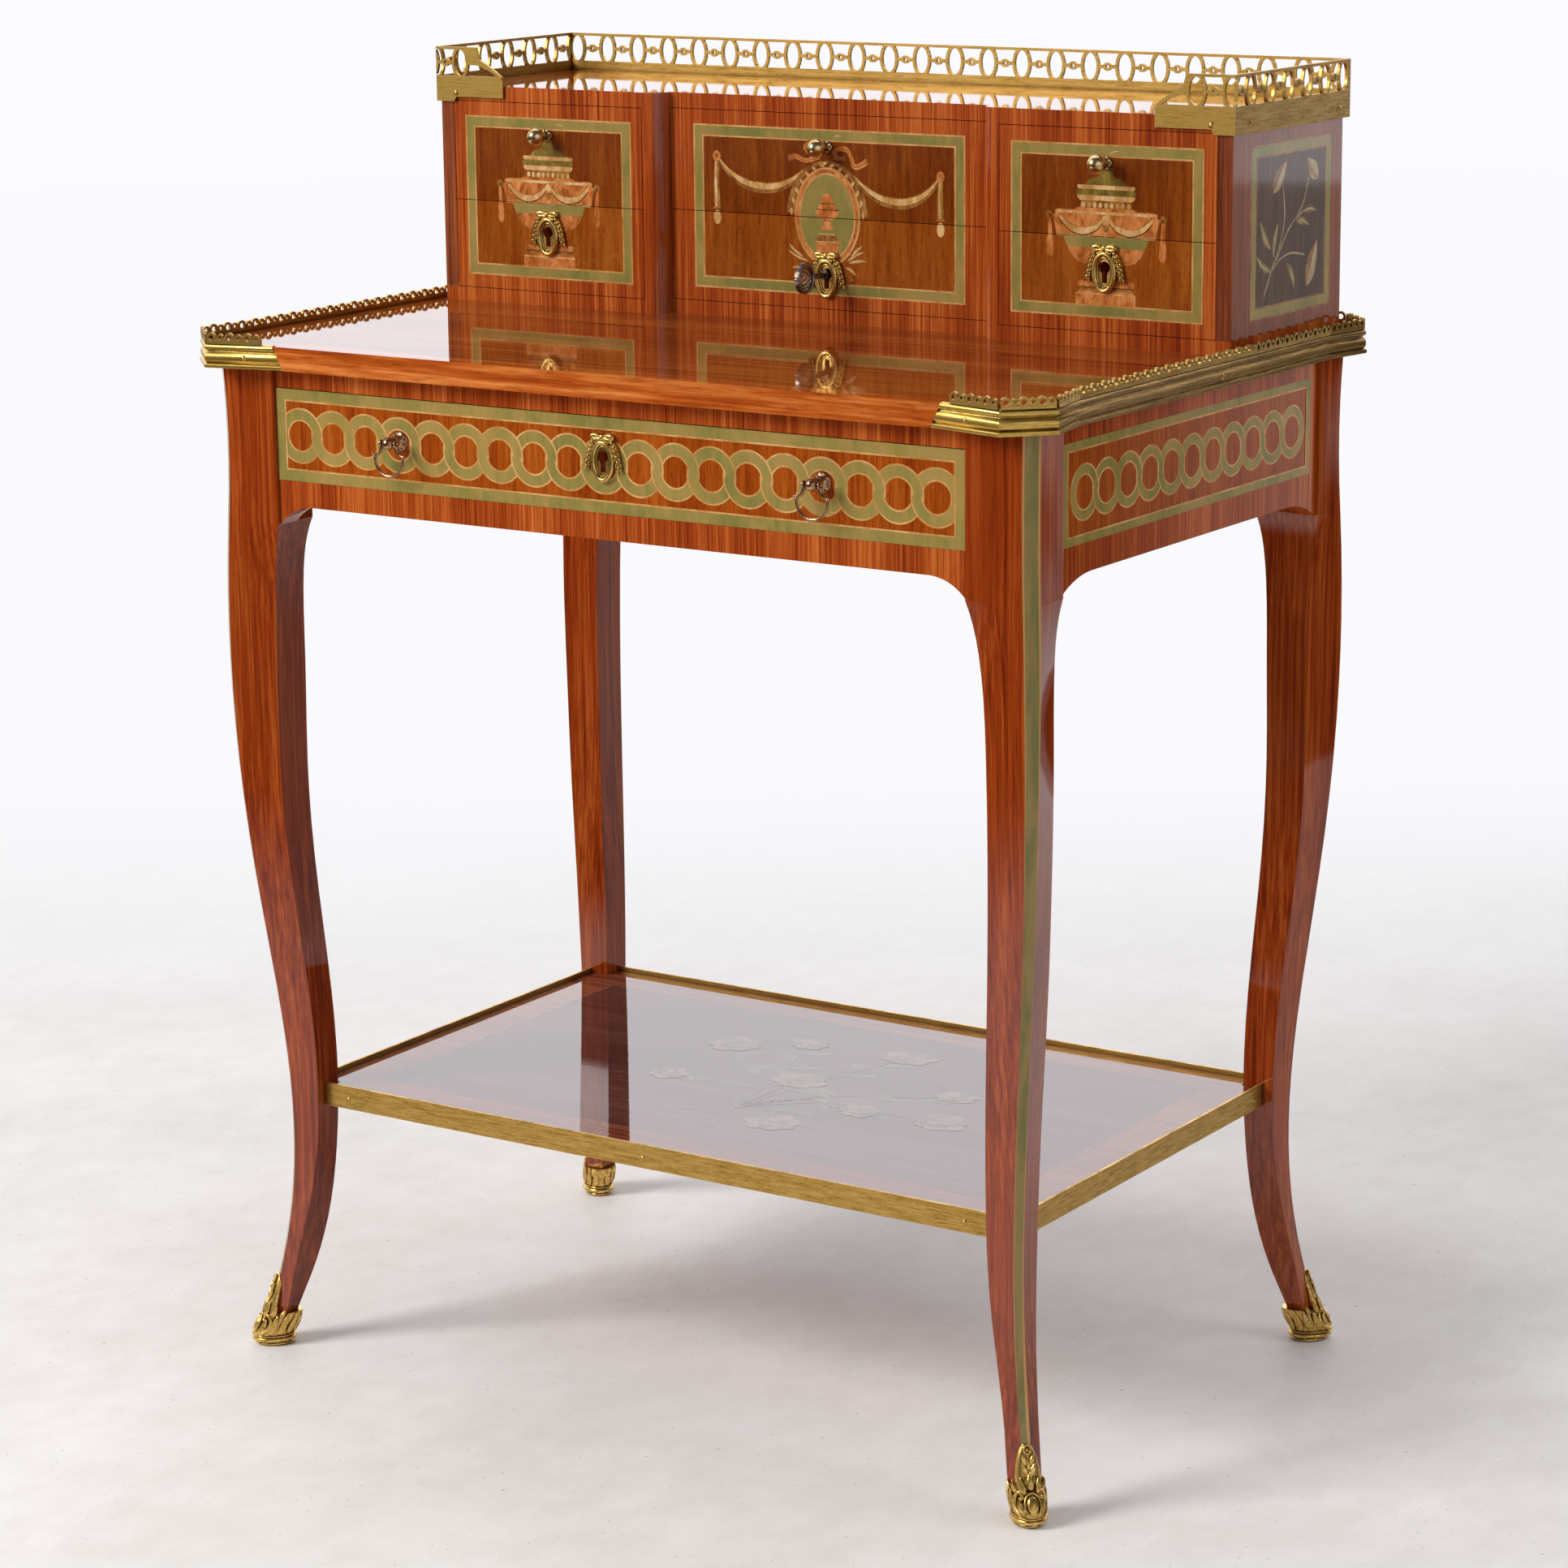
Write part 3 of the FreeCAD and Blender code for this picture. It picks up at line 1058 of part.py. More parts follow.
def make_small_drawers():
    floor, ceiling = TOP_SURFACE + BASE_THICK, CABINET_TOP - TOP_BOARD
    for bay, (x0, x1, face, key_z) in bays().items():
        middle_x = (x0 + x1) / 2
        left, right = x0 + JOINERY_GAP, x1 - JOINERY_GAP
        back_face = face + FRONT_THICK
        box_end = CABINET_BACK - BACK_THICK - SMALL_BACK_GAP
        low_front = box(left, right, face, back_face, floor + JOINERY_GAP, SPLIT - JOINERY_GAP / 2)
        high_front = box(left, right, face, back_face, SPLIT + JOINERY_GAP / 2,
                         ceiling - JOINERY_GAP)
        hole = rod(V(middle_x, face - 1, KNOB_HEIGHT), BACK, SHANK_RADIUS + FIT_GAP,
                   SHANK_LENGTH + 2)
        save("drawer_upper_%s_front" % bay, cut(high_front, [hole]))
        save("drawer_lower_%s_front" % bay,
             cut(low_front, [keyhole(middle_x, key_z, face - 1, FRONT_THICK + 2)]))
        lower_top = SPLIT - DUST_THICK / 2 - RUNNING_GAP
        upper_floor = SPLIT + DUST_THICK / 2 + RUNNING_GAP
        save("drawer_lower_%s_box" % bay,
             small_box(left, right, back_face, box_end, floor + RUNNING_GAP, lower_top))
        save("drawer_upper_%s_box" % bay,
             small_box(left, right, back_face, box_end, upper_floor, ceiling - UPPER_BOX_BELOW))
        save("knob_%s" % bay, knob(middle_x, KNOB_HEIGHT, face))
        save("escutcheon_%s" % bay, plate(middle_x, key_z, face))
        lock_top = SPLIT - DUST_THICK / 2 - LOCK_TO_DIVIDER
        if bay == "middle":
            save("lock_middle", lock_case(middle_x, key_z, back_face, lock_top))
            save("lock_bolt_middle", bolt(middle_x, key_z, back_face, lock_top))
        else:
            save("lock_%s" % bay, fixed_lock(middle_x, key_z, back_face, lock_top))


def make_key():
    """Pipe key in the middle drawer's lock: bow, collar, shaft and bit."""
    face = CABINET_FRONT + RECESS
    back_face = face + FRONT_THICK
    z = MIDDLE_KEYHOLE
    start = face - KEY_OUT
    tip = back_face + LOCK_DEPTH - LOCK_WALL - BOLT_GAP
    shaft = rod(V(0, start, z), BACK, KEY_SHAFT, tip - start)
    collar = rod(V(0, face - KEY_COLLAR_OUT, z), BACK, KEY_COLLAR, KEY_COLLAR_LENGTH)
    bore = rod(V(0, back_face, z), BACK, DRILL_PIN + PIN_GAP, LOCK_DEPTH)
    bit = box(-BIT_HALF_THICK, BIT_HALF_THICK, tip - BIT_LENGTH, tip, z - BIT_REACH, z)
    oval = Part.Face(ellipse_wire(V(0, 0, 0), BOW_LENGTH / 2, BOW_RADIUS))
    eye = Part.Face(ellipse_wire(V(0, 0, 0), BOW_LENGTH / 2 - BOW_WALL, BOW_RADIUS - BOW_WALL))
    bow = oval.cut(eye).extrude(UP * BOW_THICK)
    bow.translate(V(0, 0, -BOW_THICK / 2))
    bow.rotate(V(0, 0, 0), UP, 90)
    bow.rotate(V(0, 0, 0), BACK, 90)
    bow.translate(V(0, start - BOW_LENGTH / 2 + BOW_ROOT, z))
    save("key", cut(fuse([shaft, collar, bit, bow]), [bore]))


# ---------------------------------------------------------------- long drawer
def make_long_drawer():
    face = -FRIEZE_FRONT
    back_face = face + LONG_FRONT_THICK
    top = RAIL_BOTTOM - JOINERY_GAP
    board = front_board(apron_outline(OPENING_HALF, APRON_CURVE, APRON_FLAT, top, JOINERY_GAP),
                        face, LONG_FRONT_THICK)
    holes = [keyhole(0, LONG_KEYHOLE, face - 1, LONG_FRONT_THICK + 2)]
    for sign in (-1, 1):
        holes.append(rod(V(sign * HANDLE_X, face - 1, HANDLE_Z), BACK,
                         SHANK_RADIUS + FIT_GAP, SHANK_LENGTH + 3))
    save("long_drawer_front", cut(board, holes))
    half = OPENING_HALF - LONG_BOX_INSET
    end = FRIEZE_FRONT - APRON_THICK - STOP_GAP
    low = RUNNER_TOP + RUNNING_GAP
    side = box(half - LONG_SIDE_THICK, half, back_face, end, low, LONG_BOX_TOP)
    inner = half - LONG_SIDE_THICK
    back = box(-inner, inner, end - LONG_SIDE_THICK, end, low, LONG_BOX_TOP)
    save("long_drawer_box", [side, mirrored(side), back])
    save("long_drawer_bottom", box(-inner, inner, back_face, end - LONG_SIDE_THICK,
                                   low, low + LONG_BOTTOM))
    save("long_drawer_lock", fixed_lock(0, LONG_KEYHOLE, back_face, top - 1))
    save("long_drawer_escutcheon", plate(0, LONG_KEYHOLE, face))


def handle_post(x):
    """Turned post with a rosette, a round head and the cross pin of a drop handle."""
    face = -FRIEZE_FRONT
    pivot = V(x, face - POST_REACH, HANDLE_Z)
    rosette = rod(V(x, face - ROSETTE_THICK, HANDLE_Z), BACK, ROSETTE_RADIUS, ROSETTE_THICK)
    stem = rod(pivot, BACK, POST_RADIUS, POST_REACH)
    head = Part.makeSphere(POST_HEAD, pivot)
    pin = rod(pivot - RIGHT * PIVOT_HALF, RIGHT, PIVOT_RADIUS, 2 * PIVOT_HALF)
    shank = rod(V(x, face, HANDLE_Z), BACK, SHANK_RADIUS, SHANK_LENGTH)
    return fuse([rosette, stem, head, pin, shank])


def wire_bar(points, radius):
    """A bent wire through points: straight bars with balls at the bends."""
    pieces = []
    for a, b in zip(points, points[1:]):
        pieces.append(rod(a, b - a, radius, (b - a).Length))
    pieces += [Part.makeSphere(radius, p) for p in points[1:-1]]
    return pieces


def bail(x):
    """Drop handle: two eyes, arms that spread to small horns, and a round loop."""
    y = -FRIEZE_FRONT - POST_REACH
    pieces = []
    for sign in (-1, 1):
        eye_x = x + sign * BAIL_ARM_X
        centre = V(eye_x, y, HANDLE_Z)
        pieces.append(rod(centre - RIGHT * BAIL_EYE_HALF, RIGHT, BAIL_EYE, 2 * BAIL_EYE_HALF))
        horn = V(x + sign * (BAIL_CUSP_X + HORN_OUT), y, HANDLE_Z - BAIL_CUSP_DROP + HORN_UP)
        arm = V(eye_x + sign * ARM_SPREAD, y, HANDLE_Z - ARM_BEND)
        pieces += wire_bar([V(eye_x, y, HANDLE_Z - ARM_START), arm, horn], BAIL_WIRE)
        pieces.append(Part.makeSphere(BAIL_WIRE, horn))
    start = V(x - BAIL_CUSP_X, y, HANDLE_Z - BAIL_CUSP_DROP)
    low = V(x, y, HANDLE_Z - BAIL_DROP)
    finish = V(x + BAIL_CUSP_X, y, HANDLE_Z - BAIL_CUSP_DROP)
    path = Part.Wire(Part.Arc(start, low, finish).toShape())
    tangent = path.Edges[0].tangentAt(path.Edges[0].FirstParameter)
    section = Part.Wire(Part.makeCircle(BAIL_WIRE, start, tangent))
    pieces.append(path.makePipeShell([section], True, False))
    whole = fuse(pieces)
    pin_hole = rod(V(x - PIVOT_HALF - EYE_CLEAR, y, HANDLE_Z), RIGHT, PIVOT_RADIUS + PIN_GAP,
                   2 * PIVOT_HALF + 2 * EYE_CLEAR)
    return cut(whole, [pin_hole])


def make_handles():
    save("handle_posts", [handle_post(-HANDLE_X), handle_post(HANDLE_X)])
    save("bail_left", bail(-HANDLE_X))
    save("bail_right", bail(HANDLE_X))


def main():
    os.makedirs("parts", exist_ok=True)
    make_legs()
    make_frieze()
    make_top()
    make_shelf()
    make_cabinet()
    make_band()
    make_gallery()
    make_nails()
    make_small_drawers()
    make_key()
    make_long_drawer()
    make_handles()


main()
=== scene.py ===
"""Looks of a bonheur du jour: veneers, marquetry, gilt mounts and a plain stage.

Lengths are millimetres until a piece is finished.  X runs to the right, Y to
the back and Z up from the floor under the middle of the table.
"""
import math

import bmesh
import bpy
from bpy.props import FloatProperty, IntProperty, PointerProperty
from mathutils import Matrix, Vector


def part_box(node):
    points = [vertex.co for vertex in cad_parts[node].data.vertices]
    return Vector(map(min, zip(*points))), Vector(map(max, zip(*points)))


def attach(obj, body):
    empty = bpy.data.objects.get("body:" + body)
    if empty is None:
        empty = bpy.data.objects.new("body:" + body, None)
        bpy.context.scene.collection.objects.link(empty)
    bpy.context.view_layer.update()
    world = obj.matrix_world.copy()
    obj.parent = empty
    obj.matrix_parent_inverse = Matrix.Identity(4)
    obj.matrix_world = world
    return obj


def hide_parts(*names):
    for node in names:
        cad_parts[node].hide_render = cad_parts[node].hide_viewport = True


bl_info = {
    "name": "Bonheur du jour",
    "version": (1, 0, 0),
    "blender": (4, 5, 0),
    "location": "3D View > Sidebar > Bonheur",
    "description": "Veneers, marquetry and gilt mounts of a small writing table",
    "category": "Object",
}

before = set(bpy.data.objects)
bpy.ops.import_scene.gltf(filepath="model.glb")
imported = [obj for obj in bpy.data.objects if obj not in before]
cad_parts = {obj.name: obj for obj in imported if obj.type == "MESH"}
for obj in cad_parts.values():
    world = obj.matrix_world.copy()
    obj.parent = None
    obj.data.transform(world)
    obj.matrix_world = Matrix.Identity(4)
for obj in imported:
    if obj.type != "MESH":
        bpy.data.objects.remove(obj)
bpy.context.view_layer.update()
MM = 0.001
ROOT2 = math.sqrt(2.0)
BAYS = ("left", "middle", "right")
SIDES = (("left", -1), ("right", 1))
POST = (332.0, 217.0)    # a leg post's outer corner before it is cut
WHITE = (1, 1, 1, 1)
WOOD_STOPS = (0.38, 0.5, 0.62)
METAL_STOPS = (0.36, 0.47, 0.6)
BACKDROP_EDGE = 0.56     # the backdrop ends to the right of this slope of X over Y


# ---------------------------------------------------------------- colours and nodes
def srgb(code):
    """A colour written as #rrggbb, made linear, with full alpha."""
    parts = [int(code[i:i + 2], 16) / 255 for i in (1, 3, 5)]
    linear = [c / 12.92 if c <= 0.04045 else ((c + 0.055) / 1.055) ** 2.4 for c in parts]
    return (*linear, 1.0)


def put(tree, node, values):
    """Set or link several of a node's sockets."""
    for name, value in values.items():
        if isinstance(value, bpy.types.NodeSocket):
            tree.links.new(value, node.inputs[name])
        else:
            node.inputs[name].default_value = value


def add_node(tree, kind, inputs=None, **settings):
    """Add a node with its settings, and fill or link its inputs."""
    node = tree.nodes.new(kind)
    for name, value in settings.items():
        setattr(node, name, value)
    put(tree, node, inputs or {})
    return node


def new_material(name):
    """An empty material with a shader and an output, and the shader's tree."""
    material = bpy.data.materials.new(name)
    material.use_nodes = True
    tree = material.node_tree
    tree.nodes.clear()
    shader = add_node(tree, "ShaderNodeBsdfPrincipled")
    add_node(tree, "ShaderNodeOutputMaterial", {"Surface": shader.outputs["BSDF"]})
    return material, tree, shader


def pattern(tree, sizes, detail, roughness, distortion=0.0, offset=0.0):
    """Noise whose blotches measure the given millimetres along X, Y and Z."""
    place = add_node(tree, "ShaderNodeTexCoord").outputs["Object"]
    mapped = add_node(tree, "ShaderNodeMapping", {
        "Vector": place,
        "Location": (offset, offset, offset),
        "Scale": tuple(1 / (size * MM) for size in sizes),
    })
    noise = add_node(tree, "ShaderNodeTexNoise", {
        "Vector": mapped.outputs["Vector"], "Scale": 1.0, "Detail": detail,
        "Roughness": roughness, "Distortion": distortion,
    })
    return noise.outputs["Fac"]


def blend(tree, factor, low, high, mode="MIX"):
    """Mix two colours."""
    mix = add_node(tree, "ShaderNodeMix", {0: factor, 6: low, 7: high},
                   data_type="RGBA", blend_type=mode)
    return mix.outputs[2]


def compute(tree, operation, *values):
    """What a math node makes of a few values."""
    return add_node(tree, "ShaderNodeMath", dict(enumerate(values)), operation=operation).outputs[0]


def sum_of(tree, *terms):
    """Sum of several patterns, each with its weight before it."""
    total = 0.0
    for weight, value in zip(terms[::2], terms[1::2]):
        total = compute(tree, "MULTIPLY_ADD", value, weight, total)
    return total


def remap(tree, value, span, reach=(0.0, 1.0), way="SMOOTHSTEP"):
    """A value's place within one span, carried over to another."""
    inputs = {"Value": value, "From Min": span[0], "From Max": span[1],
              "To Min": reach[0], "To Max": reach[1]}
    return add_node(tree, "ShaderNodeMapRange", inputs, interpolation_type=way).outputs["Result"]


def ramp(tree, value, places, colours):
    """A colour picked by a value, between #rrggbb codes or linear colours at their places."""
    node = add_node(tree, "ShaderNodeValToRGB", {"Fac": value})
    linear = [srgb(colour) if isinstance(colour, str) else colour for colour in colours]
    elements = node.color_ramp.elements
    elements[0].position, elements[0].color = places[0], linear[0]
    elements[1].position, elements[1].color = places[-1], linear[-1]
    for place, colour in zip(places[1:-1], linear[1:-1]):
        elements.new(place).color = colour
    return node.outputs["Color"]


def bump(tree, height, strength, depth):
    """A normal that follows a pattern's height; depth is in millimetres."""
    return add_node(tree, "ShaderNodeBump", {
        "Strength": strength, "Distance": depth * MM, "Height": height}).outputs["Normal"]


def coordinates(tree, system="Object"):
    """X, Y and Z of a texture coordinate."""
    place = add_node(tree, "ShaderNodeTexCoord").outputs[system]
    return list(add_node(tree, "ShaderNodeSeparateXYZ", {0: place}).outputs)


def grain_sizes(axis, width, length):
    """Pattern sizes for wood whose grain runs along one axis."""
    return tuple(length if name == axis else width for name in "XYZ")


def polished(tree, shader, colour, polish):
    """Wood of one colour under a coat of polish."""
    put(tree, shader, {
        "Base Color": colour, "Roughness": 0.6, "Specular IOR Level": 0.0,
        "Coat Weight": 1.0, "Coat Roughness": polish, "Coat IOR": 1.5,
    })


def veneer(name, tones, axis, width, length, polish, ripple=0.0):
    """Polished veneer: dark, middle and light tones in streaks along the grain."""
    material, tree, shader = new_material(name)
    streaks = pattern(tree, grain_sizes(axis, width, length), 4.0, 0.65, 0.2)
    fine = pattern(tree, grain_sizes(axis, width * 0.4, length * 0.5), 2.0, 0.5, 0.0, 3.1)
    leaves = pattern(tree, grain_sizes(axis, width * 12, length * 3), 2.0, 0.5, 0.4, 7.7)
    pores = pattern(tree, grain_sizes(axis, width * 0.25, length * 0.12), 2.0, 0.7, 0.0, 11.3)
    wood = ramp(tree, sum_of(tree, 0.5, streaks, 0.2, fine, 0.3, leaves), WOOD_STOPS, tones)
    pore_mask = ramp(tree, pores, (0.36, 0.46), ((0.55, 0.5, 0.48, 1), WHITE))
    polished(tree, shader, blend(tree, 0.6, wood, pore_mask, "MULTIPLY"), polish)
    put(tree, shader, {"Normal": bump(tree, fine, 0.3, 0.05)})
    if ripple:
        swell = pattern(tree, grain_sizes(axis, 6.0, 45.0), 2.0, 0.5, 0.0, 5.5)
        put(tree, shader, {"Coat Normal": bump(tree, swell, 1.0, ripple)})
    return material


def stained(name, tones, size, polish):
    """Dyed or sand-shaded veneer: soft blotches under the same polish."""
    material, tree, shader = new_material(name)
    blotches = pattern(tree, (size, size, size * 1.6), 3.0, 0.6, 0.5)
    fleck = pattern(tree, (size * 0.12, size * 0.12, size * 0.5), 2.0, 0.6, 0.0, 4.2)
    wood = ramp(tree, sum_of(tree, 0.7, blotches, 0.3, fleck), WOOD_STOPS, tones)
    polished(tree, shader, wood, polish)
    return material


def metal(name, tones, rough, size, dents=0.05, stretch=1.0, dirt_and_shade_reach=0.0):
    """Worn metal: bright where rubbed, brown in hollows and close to other parts as dirt and painted
    shade; stretch draws it into level lines.
    """
    material, tree, shader = new_material(name)
    cloud = pattern(tree, (size * stretch, size * stretch, size / stretch), 4.0, 0.65, 0.3)
    fine = size * 0.16
    speck = pattern(tree, (fine * stretch, fine * stretch, fine), 3.0, 0.7, 0.0, 6.6)
    tone = sum_of(tree, 0.65, cloud, 0.35, speck)
    colour = ramp(tree, tone, METAL_STOPS, tones)
    if dirt_and_shade_reach:
        # Dirt and painted shade: the colour darkens by occlusion within the reach, in hollows and next
        # to other parts.
        open_sky = add_node(tree, "ShaderNodeAmbientOcclusion", {"Distance": dirt_and_shade_reach * MM}, samples=6)
        dirt = ramp(tree, open_sky.outputs["AO"], (0.3, 0.78), ("#5a4020", WHITE))
        colour = blend(tree, 1.0, colour, dirt, "MULTIPLY")
    put(tree, shader, {
        "Base Color": colour, "Metallic": 1.0, "Normal": bump(tree, tone, 0.6, dents),
        "Roughness": remap(tree, tone, METAL_STOPS[::2], rough[::-1], "LINEAR"),
    })
    return material


# ---------------------------------------------------------------- settings
class WoodSettings(bpy.types.PropertyGroup):
    """Sizes of the veneer's figure and of the polish."""
    streak: FloatProperty(
        name="Streak", description="Width of a streak in the tulipwood crossbanding",
        default=2.0, min=0.5, max=10)
    leg_streak: FloatProperty(
        name="Leg streak", description="Width of a streak in the leg veneer",
        default=3.2, min=0.5, max=20)
    polish: FloatProperty(
        name="Polish", description="Roughness of the French polish", default=0.04, min=0, max=1)
    ripple: FloatProperty(
        name="Ripple", description="Swell of the polish over the veneer, in millimetres",
        default=0.02, min=0, max=1)


class InlaySettings(bpy.types.PropertyGroup):
    """Sizes of the marquetry, in millimetres."""
    stringing: FloatProperty(
        name="Stringing", description="Width of the light lines", default=1.2, min=0.3, max=4)
    band: FloatProperty(
        name="Green band", description="Width of the green band round a small drawer",
        default=6.4, min=2, max=15)
    ring_pitch: FloatProperty(
        name="Ring pitch", description="From one guilloche ring to the next",
        default=28.9, min=10, max=60)
    ring_radius: FloatProperty(
        name="Ring radius", description="Outer radius of a guilloche ring",
        default=19.75, min=5, max=40)
    core_radius: FloatProperty(
        name="Core radius", description="Inner radius of a guilloche ring",
        default=10.4, min=3, max=30)
    side_radius: FloatProperty(
        name="Side ring radius", description="Outer radius of a ring on the side friezes",
        default=18.8, min=5, max=40)
    side_core: FloatProperty(
        name="Side core radius", description="Inner radius of a ring on the side friezes",
        default=10.9, min=3, max=30)
    long_rings: IntProperty(
        name="Drawer rings", description="Rings on the long drawer", default=19, min=1, max=40)
    side_rings: IntProperty(
        name="Side rings", description="Rings on each side frieze", default=11, min=1, max=30)


class StageSettings(bpy.types.PropertyGroup):
    """Light and view."""
    world: FloatProperty(
        name="World", description="Strength of the even light all round", default=0.48, min=0)
    key: FloatProperty(name="Key", description="Power of the key light in watts", default=136, min=0)
    fill: FloatProperty(name="Fill", description="Power of the side light in watts", default=14, min=0)
    lens: FloatProperty(
        name="Lens", description="Focal length on a 36 mm sensor", default=102.25, min=10,
        subtype="DISTANCE_CAMERA")


# ---------------------------------------------------------------- finishing a mesh
def finish_piece(name, bm, materials, body, replaces=(), sharp=35.0, merge=True):
    """Turn a bmesh in millimetres into a piece with named materials that rides on a body."""
    if merge:
        bmesh.ops.remove_doubles(bm, verts=bm.verts[:], dist=0.002)
    bmesh.ops.recalc_face_normals(bm, faces=bm.faces[:])
    bmesh.ops.scale(bm, vec=(MM, MM, MM), verts=bm.verts[:])
    mesh = bpy.data.meshes.new(name)
    bm.to_mesh(mesh)
    bm.free()
    for material in materials:
        mesh.materials.append(bpy.data.materials[material])
    mesh.polygons.foreach_set("use_smooth", [True] * len(mesh.polygons))
    mesh.set_sharp_from_angle(angle=math.radians(sharp))
    piece = bpy.data.objects.new(name, mesh)
    bpy.context.scene.collection.objects.link(piece)
    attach(piece, body)
    if replaces:
        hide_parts(*replaces)


def dress(material, *nodes):
    """Give CAD nodes a material."""
    for name in nodes:
        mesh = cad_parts[name].data
        mesh.materials.clear()
        mesh.materials.append(material)


def edge_mm(node, corner, axis):
    """One coordinate of a node's box, in millimetres."""
    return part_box(node)[corner][axis] / MM


def middle_mm(node, axis):
    """The middle of a node's box along one axis, in millimetres."""
    return (edge_mm(node, 0, axis) + edge_mm(node, 1, axis)) / 2


def face_matrix(across, up, out, origin):
    """Matrix from a face's own across, up and out to the table's axes."""
    matrix = Matrix.Identity(4)
    for column, axis in enumerate((across, up, out)):
        for row in range(3):
            matrix[row][column] = axis[row]
    matrix.translation = origin
    return matrix


def front_face(y, x=0.0, z=0.0):
    """The plane that faces the front at a depth, with its origin at a width and a height."""
    return face_matrix((1, 0, 0), (0, 0, 1), (0, -1, 0), (x, y, z))


def outer_face(node, side):
    """The plane of a node's face that looks right (1) or left (-1)."""
    x = edge_mm(node, int(side > 0), 0)
    return face_matrix((0, 1, 0), (0, 0, 1), (side, 0, 0), (x, 0, 0))


def level_face(z):
    """The plane that faces up at a height."""
    return face_matrix((1, 0, 0), (0, 1, 0), (0, 0, 1), (0, 0, z))


# ---------------------------------------------------------------- turned, drawn and cast shapes
def loft(bm, rings, closed=True):
    """A closed skin over rings of as many points each, drawn from the first to the last."""
    first = verts = [bm.verts.new(spot) for spot in rings[0]]
    edges = [bm.edges.new(pair) for pair in zip(verts, verts[1:] + verts[:1])]
    for ring in rings[1:]:
        made = bmesh.ops.extrude_edge_only(bm, edges=edges)["geom"]
        fresh = {g for g in made if isinstance(g, bmesh.types.BMVert)}
        following = []
        for vert, spot in zip(verts, ring):
            new = next(e.other_vert(vert) for e in vert.link_edges if e.other_vert(vert) in fresh)
            new.co = spot
            following.append(new)
        verts = following
        edges = [bm.edges.get(pair) for pair in zip(verts, verts[1:] + verts[:1])]
    if closed:
        bm.faces.new(first)
        bm.faces.new(verts)


def turned(bm, profile, matrix, steps=28):
    """A turned shape from its radius and height at points up its axis."""
    shape = bmesh.new()
    verts = [shape.verts.new((radius, 0, height)) for radius, height in profile]
    edges = [shape.edges.new(pair) for pair in zip(verts, verts[1:])]
    bmesh.ops.spin(shape, geom=verts + edges, cent=(0, 0, 0), axis=(0, 0, 1), dvec=(0, 0, 0),
                   angle=math.tau, steps=steps, use_merge=True)
    bmesh.ops.transform(shape, matrix=matrix, verts=shape.verts[:])
    mesh = bpy.data.meshes.new("turned")
    shape.to_mesh(mesh)
    shape.free()
    bm.from_mesh(mesh)
    bpy.data.meshes.remove(mesh)


def bar(bm, points, radius, swell=None, closed=False):
    """A round bar along a soft line; swell scales it at each point."""
    curve = bpy.data.curves.new("bar", "CURVE")
    curve.dimensions = "3D"
    curve.bevel_depth = radius
    curve.bevel_resolution = 2
    curve.use_fill_caps = True
    spline = curve.splines.new("NURBS")
    spline.points.add(len(points) - 1)
    for i, place in enumerate(points):
        spline.points[i].co = (*place, 1.0)
        spline.points[i].radius = swell[i] if swell else 1.0
    spline.order_u = 3
    spline.use_endpoint_u = not closed
    spline.use_cyclic_u = closed
    spline.resolution_u = 4
    holder = bpy.data.objects.new("bar", curve)
    mesh = bpy.data.meshes.new_from_object(holder)
    bm.from_mesh(mesh)
    bpy.data.objects.remove(holder)
    bpy.data.curves.remove(curve)
    bpy.data.meshes.remove(mesh)


def bead(bm, place, size):
    """A little ball or an oval drop; size is its radius or its three half sizes."""
    sizes = size if isinstance(size, tuple) else (size,) * 3
    made = bmesh.ops.create_uvsphere(bm, u_segments=12, v_segments=8, radius=1.0)["verts"]
    bmesh.ops.transform(bm, matrix=place @ Matrix.Diagonal((*sizes, 1.0)), verts=made)


def lobe(bm, matrix, base, tip, width, thick, lift=0.0, curl=0.0):
    """A plump leaf on a face, narrow at its tip, with a groove along its middle."""
    du, dv = tip[0] - base[0], tip[1] - base[1]
    length = math.hypot(du, dv)
    made = bmesh.ops.create_uvsphere(bm, u_segments=12, v_segments=9, radius=1.0)["verts"]
    for vert in made:
        side, rise, along = vert.co
        t = (along + 1) / 2
        swell = width / 2 * (1.25 - 0.75 * t)
        groove = 0.5 * max(0.0, 1 - abs(side) * 3.0) * max(rise, 0.0)
        u = base[0] + du * t - dv / length * side * swell
        v = base[1] + dv * t + du / length * side * swell
        vert.co = matrix @ Vector((u, v, lift + thick * (rise - groove) + curl * t * t))


def at(matrix, u, v, out):
    """A place on a face with the face's own directions."""
    return matrix @ Matrix.Translation((u, v, out))


def path_on(matrix, points, out):
    """Points on a face, all as far out."""
    return [matrix @ Vector((u, v, out)) for u, v in points]


def oval_points(u, v, half_u, half_v, count, start=0.0, sweep=math.tau):
    """Points round an oval, or round a part of it."""
    closed = abs(sweep - math.tau) < 1e-6
    steps = count if closed else count - 1
    turns = [start + sweep * i / steps for i in range(count)]
    return [(u + half_u * math.cos(t), v + half_v * math.sin(t)) for t in turns]


def oval_bar(bm, matrix, half_u, half_v, out, radius, count=24):
    """A round bar bent to an oval on a face."""
    bar(bm, path_on(matrix, oval_points(0, 0, half_u, half_v, count), out), radius, closed=True)


# ---------------------------------------------------------------- flat marquetry
WOODS = ("boxwood", "green", "rosewood", "rosewood_painted_reflection", "pearwood", "satinwood", "shaded",
         "olive", "ink", "sycamore", "panel_field", "frieze_ground", "shelf_field", "flower_grey",
         "shaded_grey", "leaf_grey")
VENEER_THICK = 0.6
HAIR = 0.02              # one layer of marquetry over the next


def rectangle(left, right, bottom, top):
    """Corners of a rectangle."""
    return [(left, bottom), (right, bottom), (right, top), (left, top)]


def mirrored_outline(half, centre):
    """A closed outline from its right half, listed from top to bottom."""
    right = [(centre + u, v) for u, v in half]
    left = [(centre - u, v) for u, v in reversed(half) if u > 0.001]
    return right + left


